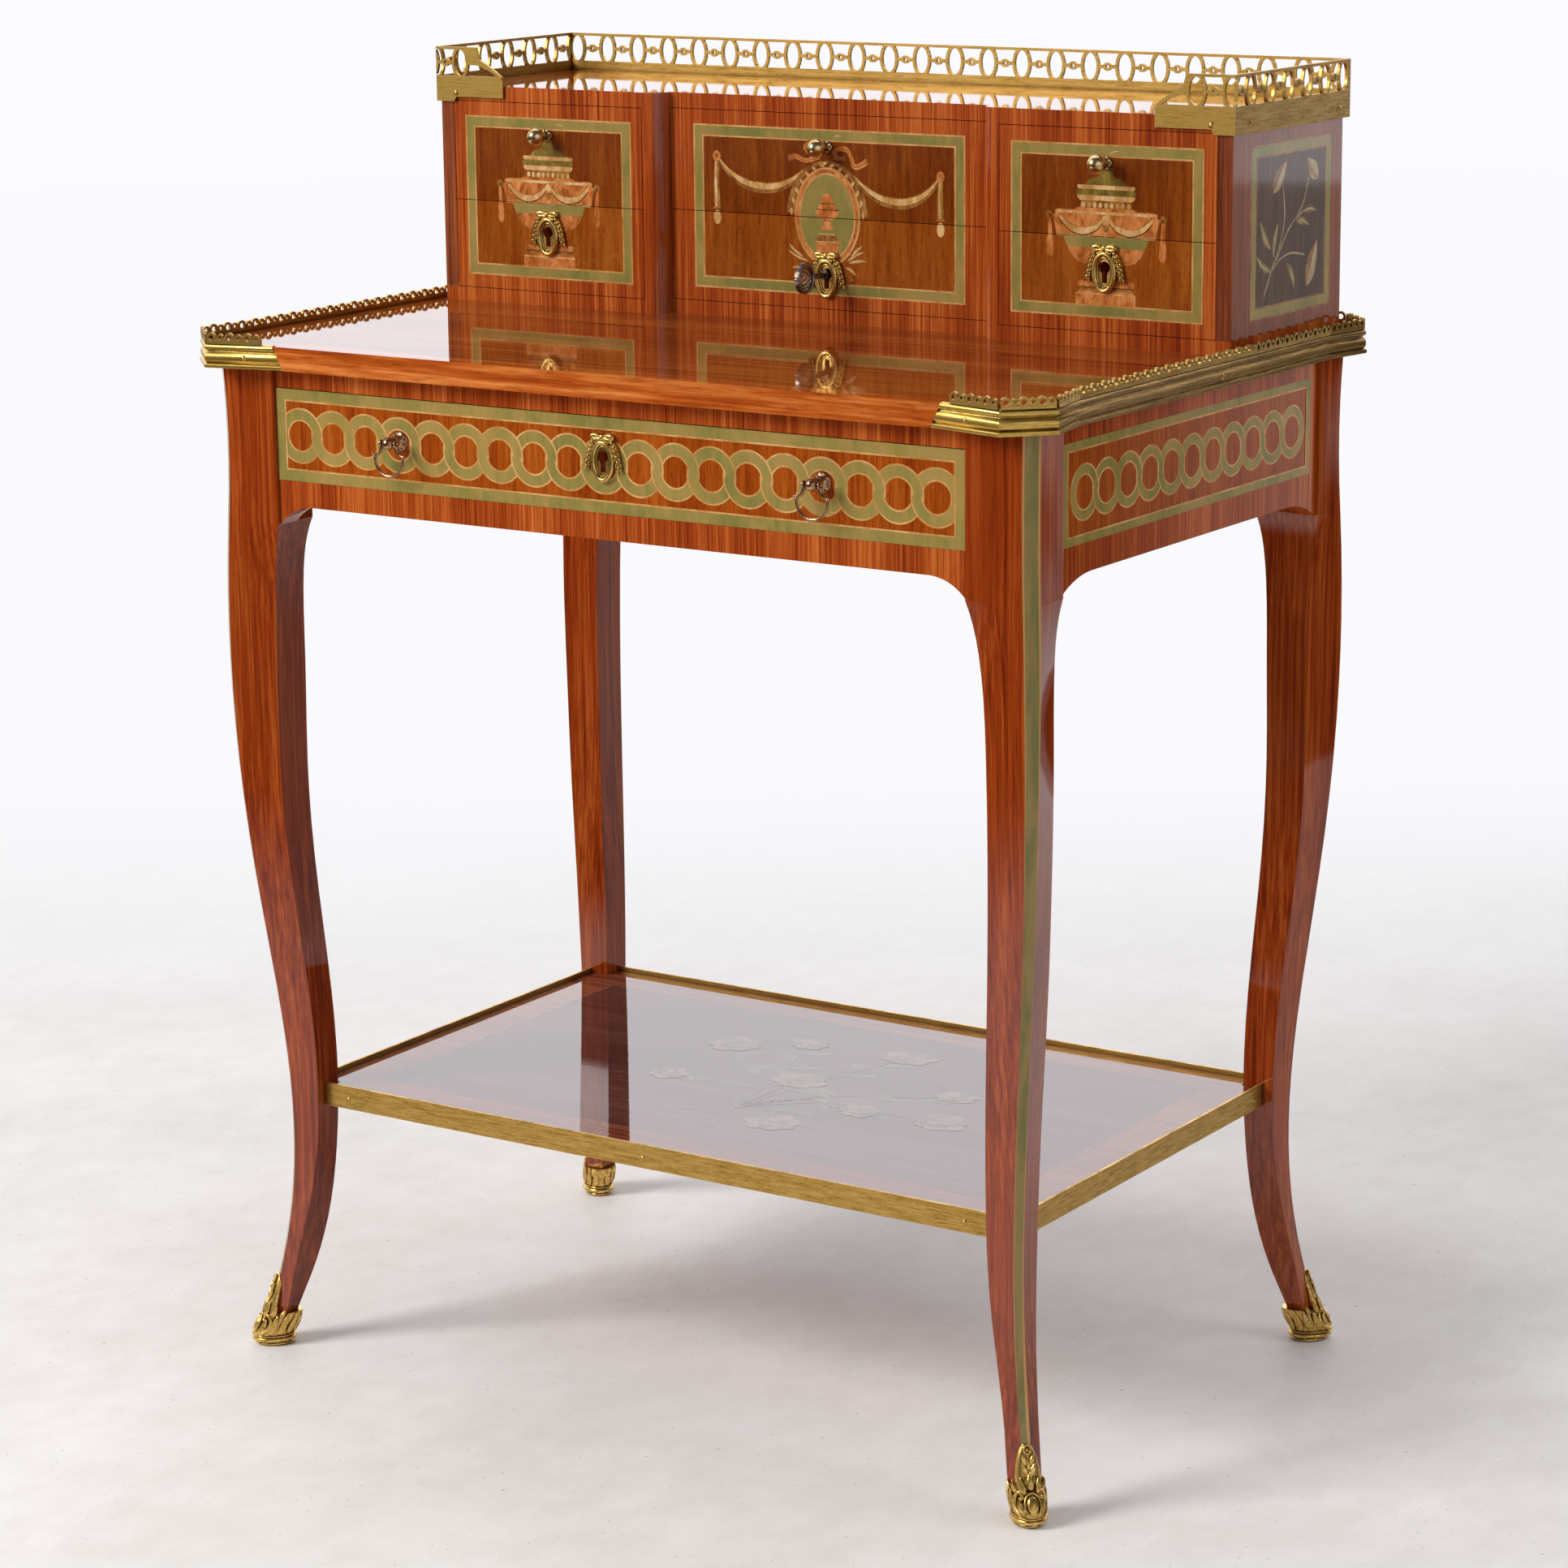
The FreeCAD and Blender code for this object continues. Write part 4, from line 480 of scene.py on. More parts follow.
def offset_path(points, widths):
    """A line of points moved sideways by the width at each."""
    moved = []
    for i, (u, v) in enumerate(points):
        before, after = points[max(i - 1, 0)], points[min(i + 1, len(points) - 1)]
        du, dv = after[0] - before[0], after[1] - before[1]
        length = math.hypot(du, dv) or 1.0
        moved.append((u - dv / length * widths[i], v + du / length * widths[i]))
    return moved


def smooth_path(points, steps=6):
    """A soft curve through a few points."""
    padded = [points[0]] + list(points) + [points[-1]]
    path = []
    for a, b, c, d in zip(padded, padded[1:], padded[2:], padded[3:]):
        for i in range(steps):
            t = i / steps
            path.append(tuple(
                0.5 * (2 * q + (r - p) * t + (2 * p - 5 * q + 4 * r - s) * t * t
                       + (3 * q - p - 3 * r + s) * t ** 3)
                for p, q, r, s in zip(a, b, c, d)))
    path.append(tuple(points[-1]))
    return path


class Marquetry:
    """Flat shapes of veneer for one panel, laid over each other by a hair."""

    def __init__(self):
        self.bm = bmesh.new()

    def patch(self, points, wood, layer):
        """One shape inside an outline."""
        verts = [self.bm.verts.new((u, v, layer * HAIR)) for u, v in points]
        self._lay([self.bm.faces.new(verts)], wood)

    def ring(self, outer, inner, wood, layer, closed=True):
        """A band between two lines that have as many points."""
        verts = [self.bm.verts.new((u, v, layer * HAIR)) for u, v in outer]
        ends = verts[1:] + verts[:1] if closed else verts[1:]
        edges = [self.bm.edges.new(pair) for pair in zip(verts, ends)]
        made = bmesh.ops.extrude_edge_only(self.bm, edges=edges)["geom"]
        place = dict(zip(verts, inner))
        for vert in (g for g in made if isinstance(g, bmesh.types.BMVert)):
            start = next(e.other_vert(vert) for e in vert.link_edges if e.other_vert(vert) in place)
            vert.co = (*place[start], layer * HAIR)
        self._lay([g for g in made if isinstance(g, bmesh.types.BMFace)], wood)

    def stroke(self, points, widths, wood, layer, soft=True):
        """A line of veneer along a path, of one width or of several along it."""
        path = smooth_path(points) if soft else points
        if not isinstance(widths, (list, tuple)):
            widths = (widths, widths)
        last = len(widths) - 1
        half = []
        for i in range(len(path)):
            spot = i / (len(path) - 1) * last
            here, following = widths[int(spot)], widths[min(int(spot) + 1, last)]
            half.append((here + (following - here) * (spot - int(spot))) / 2)
        back = [-h for h in half]
        self.ring(offset_path(path, half), offset_path(path, back), wood, layer, closed=False)

    def level_line(self, u, v, half, width, wood, layer):
        """A straight level line about its middle."""
        self.stroke([(u - half, v), (u + half, v)], width, wood, layer, soft=False)

    def oval(self, u, v, half_u, half_v, wood, layer, count=24):
        """A filled oval."""
        self.patch(oval_points(u, v, half_u, half_v, count), wood, layer)

    def leaf(self, base, tip, width, wood, layer, bend=0.0):
        """A pointed leaf between two points."""
        du, dv = tip[0] - base[0], tip[1] - base[1]
        length = math.hypot(du, dv)
        along, side = (du / length, dv / length), (-dv / length, du / length)
        right, left = [], []
        for i in range(1, 8):
            t = i / 8
            swell = math.sin(math.pi * t ** 0.8) * width / 2
            curve = bend * math.sin(math.pi * t) * length
            middle = [b + a * t * length + s * curve for b, a, s in zip(base, along, side)]
            right.append((middle[0] - side[0] * swell, middle[1] - side[1] * swell))
            left.append((middle[0] + side[0] * swell, middle[1] + side[1] * swell))
        self.patch([base] + right + [tip] + left[::-1], wood, layer)

    def panel(self, edges, ground, bands, layer=2):
        """A ground inside four edges with mitred bands on it, from the outside in."""
        self.patch(rectangle(*edges), ground, 1)
        inset = 0.0
        for width, wood in bands:
            left, right, bottom, top = edges
            rim = rectangle(left + inset, right - inset, bottom + inset, top - inset)
            inset += width
            core = rectangle(left + inset, right - inset, bottom + inset, top - inset)
            self.ring(rim, core, wood, layer)

    def window(self, left, right, bottom, top):
        """Leave a rectangle bare."""
        self._triangles()
        for spot, normal in (((left, 0, 0), (1, 0, 0)), ((right, 0, 0), (1, 0, 0)),
                             ((0, bottom, 0), (0, 1, 0)), ((0, top, 0), (0, 1, 0))):
            whole = self.bm.verts[:] + self.bm.edges[:] + self.bm.faces[:]
            bmesh.ops.bisect_plane(self.bm, geom=whole, plane_co=spot, plane_no=normal)
        middles = [(face, face.calc_center_median()) for face in self.bm.faces]
        gone = [face for face, spot in middles if left < spot.x < right and bottom < spot.y < top]
        bmesh.ops.delete(self.bm, geom=gone, context="FACES")

    def key_window(self, centre, height):
        """Leave the wood bare round a keyhole."""
        half, below, above = KEY_WINDOW
        self.window(centre - half, centre + half, height - below, height + above)

    def level_part(self, height, above):
        """A copy of what lies above or below a level line."""
        self._triangles()
        other = Marquetry()
        other.bm = self.bm.copy()
        whole = other.bm.verts[:] + other.bm.edges[:] + other.bm.faces[:]
        bmesh.ops.bisect_plane(other.bm, geom=whole, plane_co=(0, height, 0), plane_no=(0, 1, 0),
                               clear_inner=above, clear_outer=not above)
        return other

    def change_wood(self, old, new):
        """Lay one wood in place of another."""
        for face in self.bm.faces:
            if face.material_index == WOODS.index(old):
                face.material_index = WOODS.index(new)

    def lay(self, name, matrix, body, slot):
        """Give the shapes their thickness and set them into a face."""
        bmesh.ops.solidify(self.bm, geom=self.bm.faces[:], thickness=VENEER_THICK)
        bmesh.ops.transform(self.bm, matrix=matrix, verts=self.bm.verts[:])
        finish_piece(name, self.bm, WOODS, body, merge=False)

    def _triangles(self):
        bmesh.ops.triangulate(self.bm, faces=self.bm.faces[:])

    def _lay(self, faces, wood):
        for face in faces:
            face.normal_update()
            if face.normal.z < 0:
                face.normal_flip()
            face.material_index = WOODS.index(wood)


# ---------------------------------------------------------------- operators: woods
class BONHEUR_OT_woods(bpy.types.Operator):
    """Mix the veneers and woods"""
    bl_idname = "bonheur.woods"
    bl_label = "Veneers and woods"

    CUT_SLOPE = 0.45         # both level parts of the outward normal pass it on the corner cut

    def execute(self, context):
        wood = context.scene.bonheur_wood
        # Tulipwood cut across the bands: short red and tan streaks under French polish.
        dress(veneer("tulipwood_crossband", ("#6f2409", "#9c4316", "#c46b30"), "Z",
                     wood.streak, 160.0, wood.polish),
              "apron_left", "apron_right", "apron_back", "front_top_rail", "long_drawer_front",
              "cabinet_base", "cabinet_top", "partition_left", "partition_right",
              *[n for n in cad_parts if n.startswith("drawer_") and n.endswith("_front")])
        # Bois satine along the legs: long calm streaks, red brown.
        dress(self.leg_veneer(wood), *[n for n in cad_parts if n.startswith("leg_")])
        # The top's veneer lies along the length and its thick polish mirrors the cabinet.
        dress(veneer("kingwood_top", ("#5c240b", "#8a3f16", "#ab6128"), "X", 3.5, 180.0, 0.03,
                     wood.ripple), "table_top")
        # Solid wood along the front edge, with a broad flame.
        dress(veneer("solid_front_edge", ("#7a2c0b", "#a64c17", "#cf7c3c"), "X", 6.0, 150.0,
                     wood.polish), "top_front_edge")
        dress(veneer("shelf_border", ("#5a2a1c", "#7c4230", "#96583c"), "X", 2.4, 140.0, 0.03,
                     wood.ripple), "shelf_board")
        dress(veneer("cabinet_side_band", ("#5c2a18", "#7f3e22", "#9a5533"), "Z", 2.4, 150.0,
                     wood.polish), "cabinet_side_left", "cabinet_side_right")
        # Quarter-sawn oak, waxed once: pale brown and matt.
        dress(veneer("waxed_oak", ("#8a6a42", "#a5855a", "#bb9d72"), "Y", 1.6, 90.0, 0.4),
              *[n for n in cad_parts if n.endswith("_box")], "long_drawer_bottom",
              "dust_boards", "drawer_runners", "shelf_dowels")
        # The same oak in the cabinet's back, where the boards lie along the table.
        dress(veneer("waxed_oak_back", ("#75573a", "#8f7048", "#a6875c"), "X", 2.2, 160.0, 0.4),
              "cabinet_back")
        # Boxwood lines, lightly toasted.
        stained("boxwood", ("#a5753c", "#bd8b50", "#cf9f66"), 20.0, wood.polish)
        # Harewood dyed green, faded towards olive and tan in places.
        stained("green", ("#77703a", "#8c7a40", "#9b8148"), 38.0, wood.polish)
        # Rosewood grounds of the panels, cut calm.
        veneer("rosewood", ("#622a08", "#75360c", "#874512"), "Z", 5.0, 60.0, wood.polish)
        # The lower drawers' ground: a lighter copy of the rosewood, with the sheen they reflect painted
        # in.
        veneer("rosewood_painted_reflection", ("#773509", "#8b4511", "#9c551b"), "Z", 5.0, 60.0, wood.polish)
        # Pearwood, warm orange, shaded in hot sand.
        stained("pearwood", ("#8e4a20", "#b96d35", "#cf8a50"), 9.0, wood.polish)
        stained("satinwood", ("#a9793f", "#c3935a", "#d8b27c"), 10.0, wood.polish)
        stained("shaded", ("#6a3e1b", "#8a5a2a", "#a1733c"), 7.0, wood.polish)
        stained("olive", ("#5a4a1e", "#766028", "#8f7838"), 9.0, wood.polish)
        # Engraved lines filled with dark mastic.
        stained("ink", ("#3a2110", "#4d2d14", "#5e3a1c"), 6.0, wood.polish)
        # Sycamore and holly flowers, greyed with age.
        stained("sycamore", ("#7d6648", "#a08a68", "#b8a482"), 12.0, wood.polish)
        # Stained ground of the side panels, dark brown.
        veneer("panel_field", ("#33200f", "#4a2f1c", "#5c3d28"), "Z", 4.0, 80.0, 0.04, 0.015)
        # Red bois satine ground of the friezes.
        veneer("frieze_ground", ("#7e2f07", "#97460f", "#aa581c"), "Z", 3.0, 70.0, wood.polish)
        # The shelf's ground and its flowers, faded and under a thick rippled polish.
        veneer("shelf_field", ("#4a2b26", "#5c3832", "#694640"), "X", 4.0, 90.0, 0.03, wood.ripple)
        stained("flower_grey", ("#634639", "#795a4c", "#8a6b5c"), 12.0, 0.04)
        stained("shaded_grey", ("#4c392c", "#5f4a3a", "#705a47"), 8.0, 0.04)
        stained("leaf_grey", ("#4a4132", "#5b503d", "#6b604b"), 12.0, 0.04)
        return {"FINISHED"}

    def leg_veneer(self, wood):
        """Leg veneer with the green stripe and its two lines on the outer corner cut."""
        material = veneer("satine_legs", ("#5c1a05", "#88340d", "#a85220"), "Z",
                          wood.leg_streak, 260.0, wood.polish)
        tree = material.node_tree
        shader = next(n for n in tree.nodes if n.type == "BSDF_PRINCIPLED")
        veneer_colour = shader.inputs["Base Color"].links[0].from_socket
        x, y, z = coordinates(tree)
        geometry = add_node(tree, "ShaderNodeNewGeometry")
        normal = add_node(tree, "ShaderNodeSeparateXYZ", {0: geometry.outputs["Normal"]}).outputs
        slopes = [compute(tree, "MULTIPLY", normal[i], compute(tree, "SIGN", value))
                  for i, value in ((0, x), (1, y))]
        on_cut = compute(tree, "GREATER_THAN", compute(tree, "MINIMUM", *slopes), self.CUT_SLOPE)
        gap = compute(tree, "SUBTRACT", compute(tree, "ABSOLUTE", x), compute(tree, "ABSOLUTE", y))
        off = compute(tree, "SUBTRACT", gap, (POST[0] - POST[1]) * MM)
        across = compute(tree, "MULTIPLY", compute(tree, "ABSOLUTE", off), 1 / ROOT2)
        half = remap(tree, z, (0.1, 0.58), (2.5 * MM, 4.6 * MM), "LINEAR")
        stripe = compute(tree, "GREATER_THAN", half, across)
        blotches = pattern(tree, (9, 9, 60), 3.0, 0.6, 0.4, 2.2)
        green = ramp(tree, blotches, WOOD_STOPS, ("#6c6a34", "#82703a", "#8f7842"))
        cut = blend(tree, stripe, srgb("#b98a4e"), green)
        put(tree, shader, {"Base Color": blend(tree, on_cut, veneer_colour, cut)})
        return material


class BONHEUR_OT_metals(bpy.types.Operator):
    """Mix the brass, bronze, steel and iron"""
    bl_idname = "bonheur.metals"
    bl_label = "Metals"

    def execute(self, context):
        # Rolled brass strip, drawn in long level lines: dull gold, browner in the corners with dirt and
        # painted shade.
        dress(metal("rolled_brass", ("#94722f", "#b8924a", "#cfa85e"), (0.38, 0.5), 5.0, 0.02,
                    4.0, 5.0),
              "top_gallery", "shelf_edging", "gallery_band", "upper_gallery", "brass_nails")
        # Drawn brass moulding, rubbed bright on its round members.
        dress(metal("drawn_moulding", ("#9a7a30", "#c7a24e", "#dfbd6c"), (0.34, 0.46), 6.0,
                    0.02, 5.0, 3.0), "top_moulding")
        # The same moulding along the sides, darker: painted shade, where the sides turn from the light.
        metal("painted_shade_moulding", ("#664a1e", "#8a6829", "#ac8643"), (0.4, 0.5), 6.0, 0.02, 5.0, 3.0)
        # Cast brass, fire gilt and chased: bright yellow, its hollows browned with dirt and painted
        # shade.
        dress(metal("gilt_casting", ("#a67c34", "#d3a955", "#f0d088"), (0.24, 0.4), 2.5, 0.05,
                    1.0, 2.4),
              "sabots", "long_drawer_escutcheon", *[f"escutcheon_{bay}" for bay in BAYS])
        # Turned handles, tarnished to a pinkish bronze.
        dress(metal("tarnished_bronze", ("#6a4630", "#a37a58", "#d0a683"), (0.18, 0.34), 4.0,
                    0.02, 1.0, 2.0), "handle_posts", "bail_left", "bail_right")
        # Turned ball knobs, pale gold and smooth from the hand.
        dress(metal("ball_brass", ("#a3854f", "#c8a972", "#e8cf9c"), (0.2, 0.3), 6.0, 0.01,
                    1.0, 3.0), *[f"knob_{bay}" for bay in BAYS])
        # Forged key, dark with a worn grey sheen.
        dress(metal("key_steel", ("#33291f", "#5f5346", "#8a7c6c"), (0.25, 0.45), 3.0), "key")
        dress(metal("lock_iron", ("#2c2824", "#4a443e", "#6a635b"), (0.4, 0.6), 5.0),
              "long_drawer_lock", "lock_bolt_middle", *[f"lock_{bay}" for bay in BAYS])
        return {"FINISHED"}


# ---------------------------------------------------------------- operators: marquetry
HALF_GAP = 0.25          # between an upper and a lower small drawer
SPLIT = edge_mm("drawer_upper_middle_front", 0, 2) - HALF_GAP
# Bay, centre and half width of its frame, and height of its keyhole.
BAY_FRAMES = (("left", -234.5, 74.9, 802.5), ("middle", 0.0, 114.3, 783.5),
              ("right", 234.5, 74.9, 802.5))
FRAME_LOW, FRAME_HIGH = 768.1, 885.8
KEY_WINDOW = (5.0, 11.0, 5.0)    # half width, below and above the keyhole's centre
RING_HEIGHT = 684.5


def urn(work, x):
    """Covered urn with swags and tassels on a pedestal."""
    def shape(half, wood, layer):
        work.patch(mirrored_outline(half, x), wood, layer)

    shape([(3.5, 870), (5, 866.5), (6, 863.4)], "olive", 2)
    shape([(6, 863.8), (11.5, 862.5), (14.8, 860.3), (16.2, 857.8)], "olive", 3)
    shape([(22, 858), (22.5, 856.6), (21.5, 855.2)], "satinwood", 4)
    shape([(21.2, 855.3), (23.4, 853.6), (22.8, 852), (20.8, 850.8)], "olive", 3)
    shape([(22.3, 851), (22.3, 849.4), (20.4, 847.6)], "satinwood", 4)
    shape([(19.3, 847.8), (20, 844.5), (21.4, 841.4)], "shaded", 2)
    for i in range(-4, 5):
        work.oval(x + i * 4.4, 844.5, 1.5, 1.9, "satinwood", 4, 10)
    shape([(22.5, 842.4), (24.5, 841), (36.5, 841), (39.8, 840), (39.4, 837.6)], "pearwood", 3)
    shape([(38.6, 840.2), (39.6, 839.4), (39, 838.2)], "satinwood", 5)
    shape([(39.4, 838), (41, 836.2), (40.4, 832), (38.4, 823.2)], "pearwood", 4)
    for side in (-1, 1):
        swag = [(x + side * 36, 836), (x + side * 28, 829), (x + side * 18, 826.6),
                (x + side * 8, 829.5), (x + side * 3, 834.5)]
        work.stroke(swag, (1.6, 3.6, 4.6, 3.4, 1.6), "satinwood", 6)
        work.stroke([(u, v - 2.6) for u, v in swag], 0.7, "ink", 5.5)
        work.stroke([(u, v + 2.2) for u, v in swag], 0.6, "shaded", 5)
        work.leaf((x + side * 14, 824.5), (x + side * 30, 826.5), 2.4, "shaded", 5)
        hook = x + side * 44.5
        work.stroke([(x + side * 40.5, 833.5), (x + side * 43, 838), (hook + side, 837.5),
                     (hook + side * 0.6, 834)], (1.2, 2.2, 2.4, 2.0), "shaded", 5)
        work.stroke([(hook, 835), (hook - side * 0.6, 828), (hook - side * 0.8, 821)],
                    (2.4, 3.2, 3.6), "pearwood", 4)
        work.leaf((hook - side * 0.6, 824.5), (hook - side * 0.8, 808.5), 5.2, "pearwood", 3)
        work.oval(hook - side * 0.8, 812.5, 2.7, 4.6, "pearwood", 5, 16)
    work.oval(x, 835.2, 3.0, 2.6, "satinwood", 6, 14)
    shape([(3.0, 831.5), (1.4, 826.5)], "shaded", 5)
    shape([(38.8, 823.9), (38.2, 822.7)], "satinwood", 5)
    shape([(33.2, 822.6), (30, 815.5)], "green", 2)
    shape([(30, 815.6), (27.4, 810.6), (23, 806.4), (17.5, 804.6), (9, 803.2), (4.5, 800)],
          "pearwood", 3)
    work.stroke([(x - 29, 813.4), (x - 24, 807.6), (x - 17, 805.6), (x - 6, 804.2)], 0.7,
                "shaded", 5)
    shape([(4.5, 800.2), (6, 796), (12, 793)], "shaded", 2)
    shape([(21.5, 793.2), (22.3, 791), (20.8, 788.6)], "pearwood", 4)
    shape([(20.6, 788.8), (20.6, 786.2)], "shaded", 3)
    shape([(20.8, 786.4), (23.3, 783.8), (23.3, 776.6)], "pearwood", 4)
    work.level_line(x, 784.2, 23, 0.9, "satinwood", 5)
    work.level_line(x, 788.6, 21, 0.7, "ink", 5)


def cartouche(work):
    """Oval medallion with an urn, hung between two swags from a ribbon bow."""
    cu, cv = 0.0, 824.0
    wreath = cv + 1.5
    outer = oval_points(cu, wreath, 34.0, 38.0, 40, 0.0, math.pi)
    inner = oval_points(cu, wreath, 27.6, 36.0, 40, 0.0, math.pi)
    work.ring(outer, inner, "shaded", 3, closed=False)
    for i in range(15):
        turn = math.pi * (i + 0.5) / 15
        base = (cu + 30.6 * math.cos(turn), wreath + 36.6 * math.sin(turn))
        way = -1 if turn < math.pi / 2 else 1
        tip = (base[0] + 4.6 * way * math.sin(turn), base[1] - 4.6 * abs(math.cos(turn)) - 1.2)
        work.leaf(base, tip, 2.4, "satinwood", 4)
    rims = ((27.7, 35.0, "boxwood", 5), (26.3, 33.6, "pearwood", 6), (23.8, 31.0, "boxwood", 7),
            (22.5, 29.7, "green", 8))
    for half_u, half_v, wood, layer in rims:
        work.oval(cu, cv, half_u, half_v, wood, layer, 56)

    def shape(half, wood, layer):
        work.patch(mirrored_outline(half, cu), wood, layer)

    shape([(3.2, 840), (4.8, 837.4), (5.6, 833.6), (7.4, 831.4), (8.4, 829)], "pearwood", 9)
    shape([(9.8, 829.2), (9.4, 825)], "pearwood", 10)
    shape([(8.6, 825.2), (7, 823.2), (3.2, 821.4), (2.6, 819), (4.9, 816.4), (5.2, 814.8)],
          "pearwood", 9)
    shape([(9.6, 806.2), (9.3, 797)], "pearwood", 9)
    shape([(5.4, 811.4), (8.6, 808.8), (8.6, 806)], "shaded", 9)
    for v, half, width, wood in ((829, 9.6, 0.6, "ink"), (833.4, 5.2, 0.6, "ink"),
                                 (821.4, 3, 0.5, "ink"), (811.6, 6.5, 1.0, "satinwood"),
                                 (806.2, 9.4, 0.8, "satinwood")):
        work.level_line(cu, v, half, width, wood, 11)
    swags = (((-92.5, 861), (-84, 852.5), (-72, 845.5), (-57, 842.4), (-42, 843.4), (-29, 848.6),
              (-20.5, 855)),
             ((93, 854.5), (86, 846.5), (76, 839.6), (62, 836.2), (46, 838), (32, 845),
              (21, 853.8)))
    for line in swags:
        work.stroke(line, (2.2, 4.6, 7.2, 8.2, 7.4, 5.2, 2.8), "shaded", 2)
        work.stroke([(u, v + 0.9) for u, v in line], (0.8, 2.2, 3.8, 4.6, 3.8, 2.4, 1.0),
                    "satinwood", 2.5)
    for u, top in ((-94.2, 863.5), (94.3, 856.4)):
        work.oval(u, top, 3.4, 3.8, "pearwood", 6, 14)
        work.oval(u, top, 1.4, 1.6, "shaded", 7, 10)
        work.stroke([(u, top - 3), (u - 0.4, top - 18), (u, 826)], (3.8, 5.0, 5.6), "shaded", 4)
        work.stroke([(u - 0.6, top - 4), (u - 1, top - 18), (u - 0.6, 827)], (1.6, 2.2, 2.4),
                    "satinwood", 5)
        work.oval(u, 819.5, 3.2, 5.2, "satinwood", 6, 16)
        work.level_line(u, 826, 3.2, 1.2, "pearwood", 7)
    bows = (((-32.5, 864.2), (-26, 865.6), (-19, 863.2), (-12, 864.4), (-6, 866)),
            ((-6, 868), (-13, 868.5), (-18.2, 872), (-14, 875.4), (-6, 871.6)),
            ((34, 864.6), (28, 861.2), (23, 860.4), (20.6, 866), (17.4, 871.6), (11, 872.4),
             (5, 869)),
            ((6, 867), (12, 865.4), (15, 866.2)))
    for i, line in enumerate(bows):
        work.stroke(line, (4.6, 3.8, 3.0, 3.6, 3.0), "pearwood", 6 + 0.4 * i)
        work.stroke(line, 0.6, "shaded", 6.2 + 0.4 * i)
    sprays = (((-16, 792), (-34, 799.4)), ((-17, 790.5), (-30.5, 786.6)),
              ((-20, 794.5), (-33, 804)), ((16.5, 793), (31.6, 800.8)),
              ((18, 792), (33.6, 793.8)), ((15, 789), (24.6, 783.2)), ((20, 796), (30, 805)))
    for i, (base, tip) in enumerate(sprays):
        work.leaf(base, tip, 3.4, "shaded", 3.2 + 0.4 * i, 0.06)
        work.leaf(base, tip, 1.6, "satinwood", 3.4 + 0.4 * i, 0.06)


class BONHEUR_OT_small_drawers(bpy.types.Operator):
    """Inlay the six small drawers, two to a bay"""
    bl_idname = "bonheur.small_drawers"
    bl_label = "Small drawer marquetry"

    def execute(self, context):
        inlay = context.scene.bonheur_inlay
        line = (inlay.stringing, "boxwood")
        for bay, centre, half, keyhole in BAY_FRAMES:
            work = Marquetry()
            work.panel((centre - half, centre + half, FRAME_LOW, FRAME_HIGH), "rosewood",
                       (line, (inlay.band, "green"), line))
            if bay == "middle":
                cartouche(work)
            else:
                urn(work, centre)
            work.key_window(centre, keyhole)
            for row, side in (("upper", 1), ("lower", -1)):
                part = work.level_part(SPLIT + side * HALF_GAP, side > 0)
                # The lower drawers take the lighter rosewood copy: a painted reflection.
                if row == "lower":
                    part.change_wood("rosewood", "rosewood_painted_reflection")
                drawer = f"drawer_{row}_{bay}"
                part.lay(f"marquetry_{row}_{bay}", front_face(edge_mm(f"{drawer}_front", 0, 1)),
                         drawer, "drawer_marquetry")
            work.bm.free()
        return {"FINISHED"}


def guilloche(work, inlay, count, radius, core, first):
    """A running row of interlaced rings."""
    line = (inlay.stringing, "boxwood")
    green = (radius - core - 2 * inlay.stringing, "green")
    for i in range(count):
        u = first + i * inlay.ring_pitch
        for start, layer in ((0.0, 4 + (count - i) * 0.5), (math.pi, 4 + i * 0.5)):
            reach = radius
            for width, wood in (line, green, line):
                lines = [oval_points(u, RING_HEIGHT, size, size, 26, start, math.pi)
                         for size in (reach, reach - width)]
                work.ring(*lines, wood, layer, closed=False)
                reach -= width


class BONHEUR_OT_frieze(bpy.types.Operator):
    """Inlay the long drawer and the side friezes with guilloche"""
    bl_idname = "bonheur.frieze"
    bl_label = "Guilloche friezes"

    # Edges of the panels, but for the long drawer's top edge, and the drawer's keyhole.
    LONG_EDGES = (-281.5, 281.5, 652.2)
    SIDE_EDGES = (-175.5, 168.5, 651.5, 718.5)
    LONG_KEYHOLE = 690.5
    LONG_FIRST, SIDE_FIRST = -260.5, -148.0      # middle of the first ring
    LONG_BAND, SIDE_BAND = 7.6, 5.2              # width of the green band

    def execute(self, context):
        inlay = context.scene.bonheur_inlay
        front = "long_drawer_front"
        rings = (inlay.long_rings, inlay.ring_radius, inlay.core_radius, self.LONG_FIRST)
        work = self.banded(inlay, (*self.LONG_EDGES, edge_mm(front, 1, 2)), rings,
                           self.LONG_BAND)
        work.key_window(0.0, self.LONG_KEYHOLE)
        work.lay("marquetry_long_drawer", front_face(edge_mm(front, 0, 1)), "long_drawer",
                 "frieze_veneer")
        rings = (inlay.side_rings, inlay.side_radius, inlay.side_core, self.SIDE_FIRST)
        for name, side in SIDES:
            work = self.banded(inlay, self.SIDE_EDGES, rings, self.SIDE_BAND)
            work.lay(f"marquetry_frieze_{name}", outer_face(f"apron_{name}", side), "carcase",
                     "frieze_veneer")
        return {"FINISHED"}

    def banded(self, inlay, edges, rings, band):
        """Rings on their ground, inside a green band with a light line."""
        work = Marquetry()
        work.panel(edges, "frieze_ground", ((band, "green"), (inlay.stringing, "boxwood")), 20)
        guilloche(work, inlay, *rings)
        return work


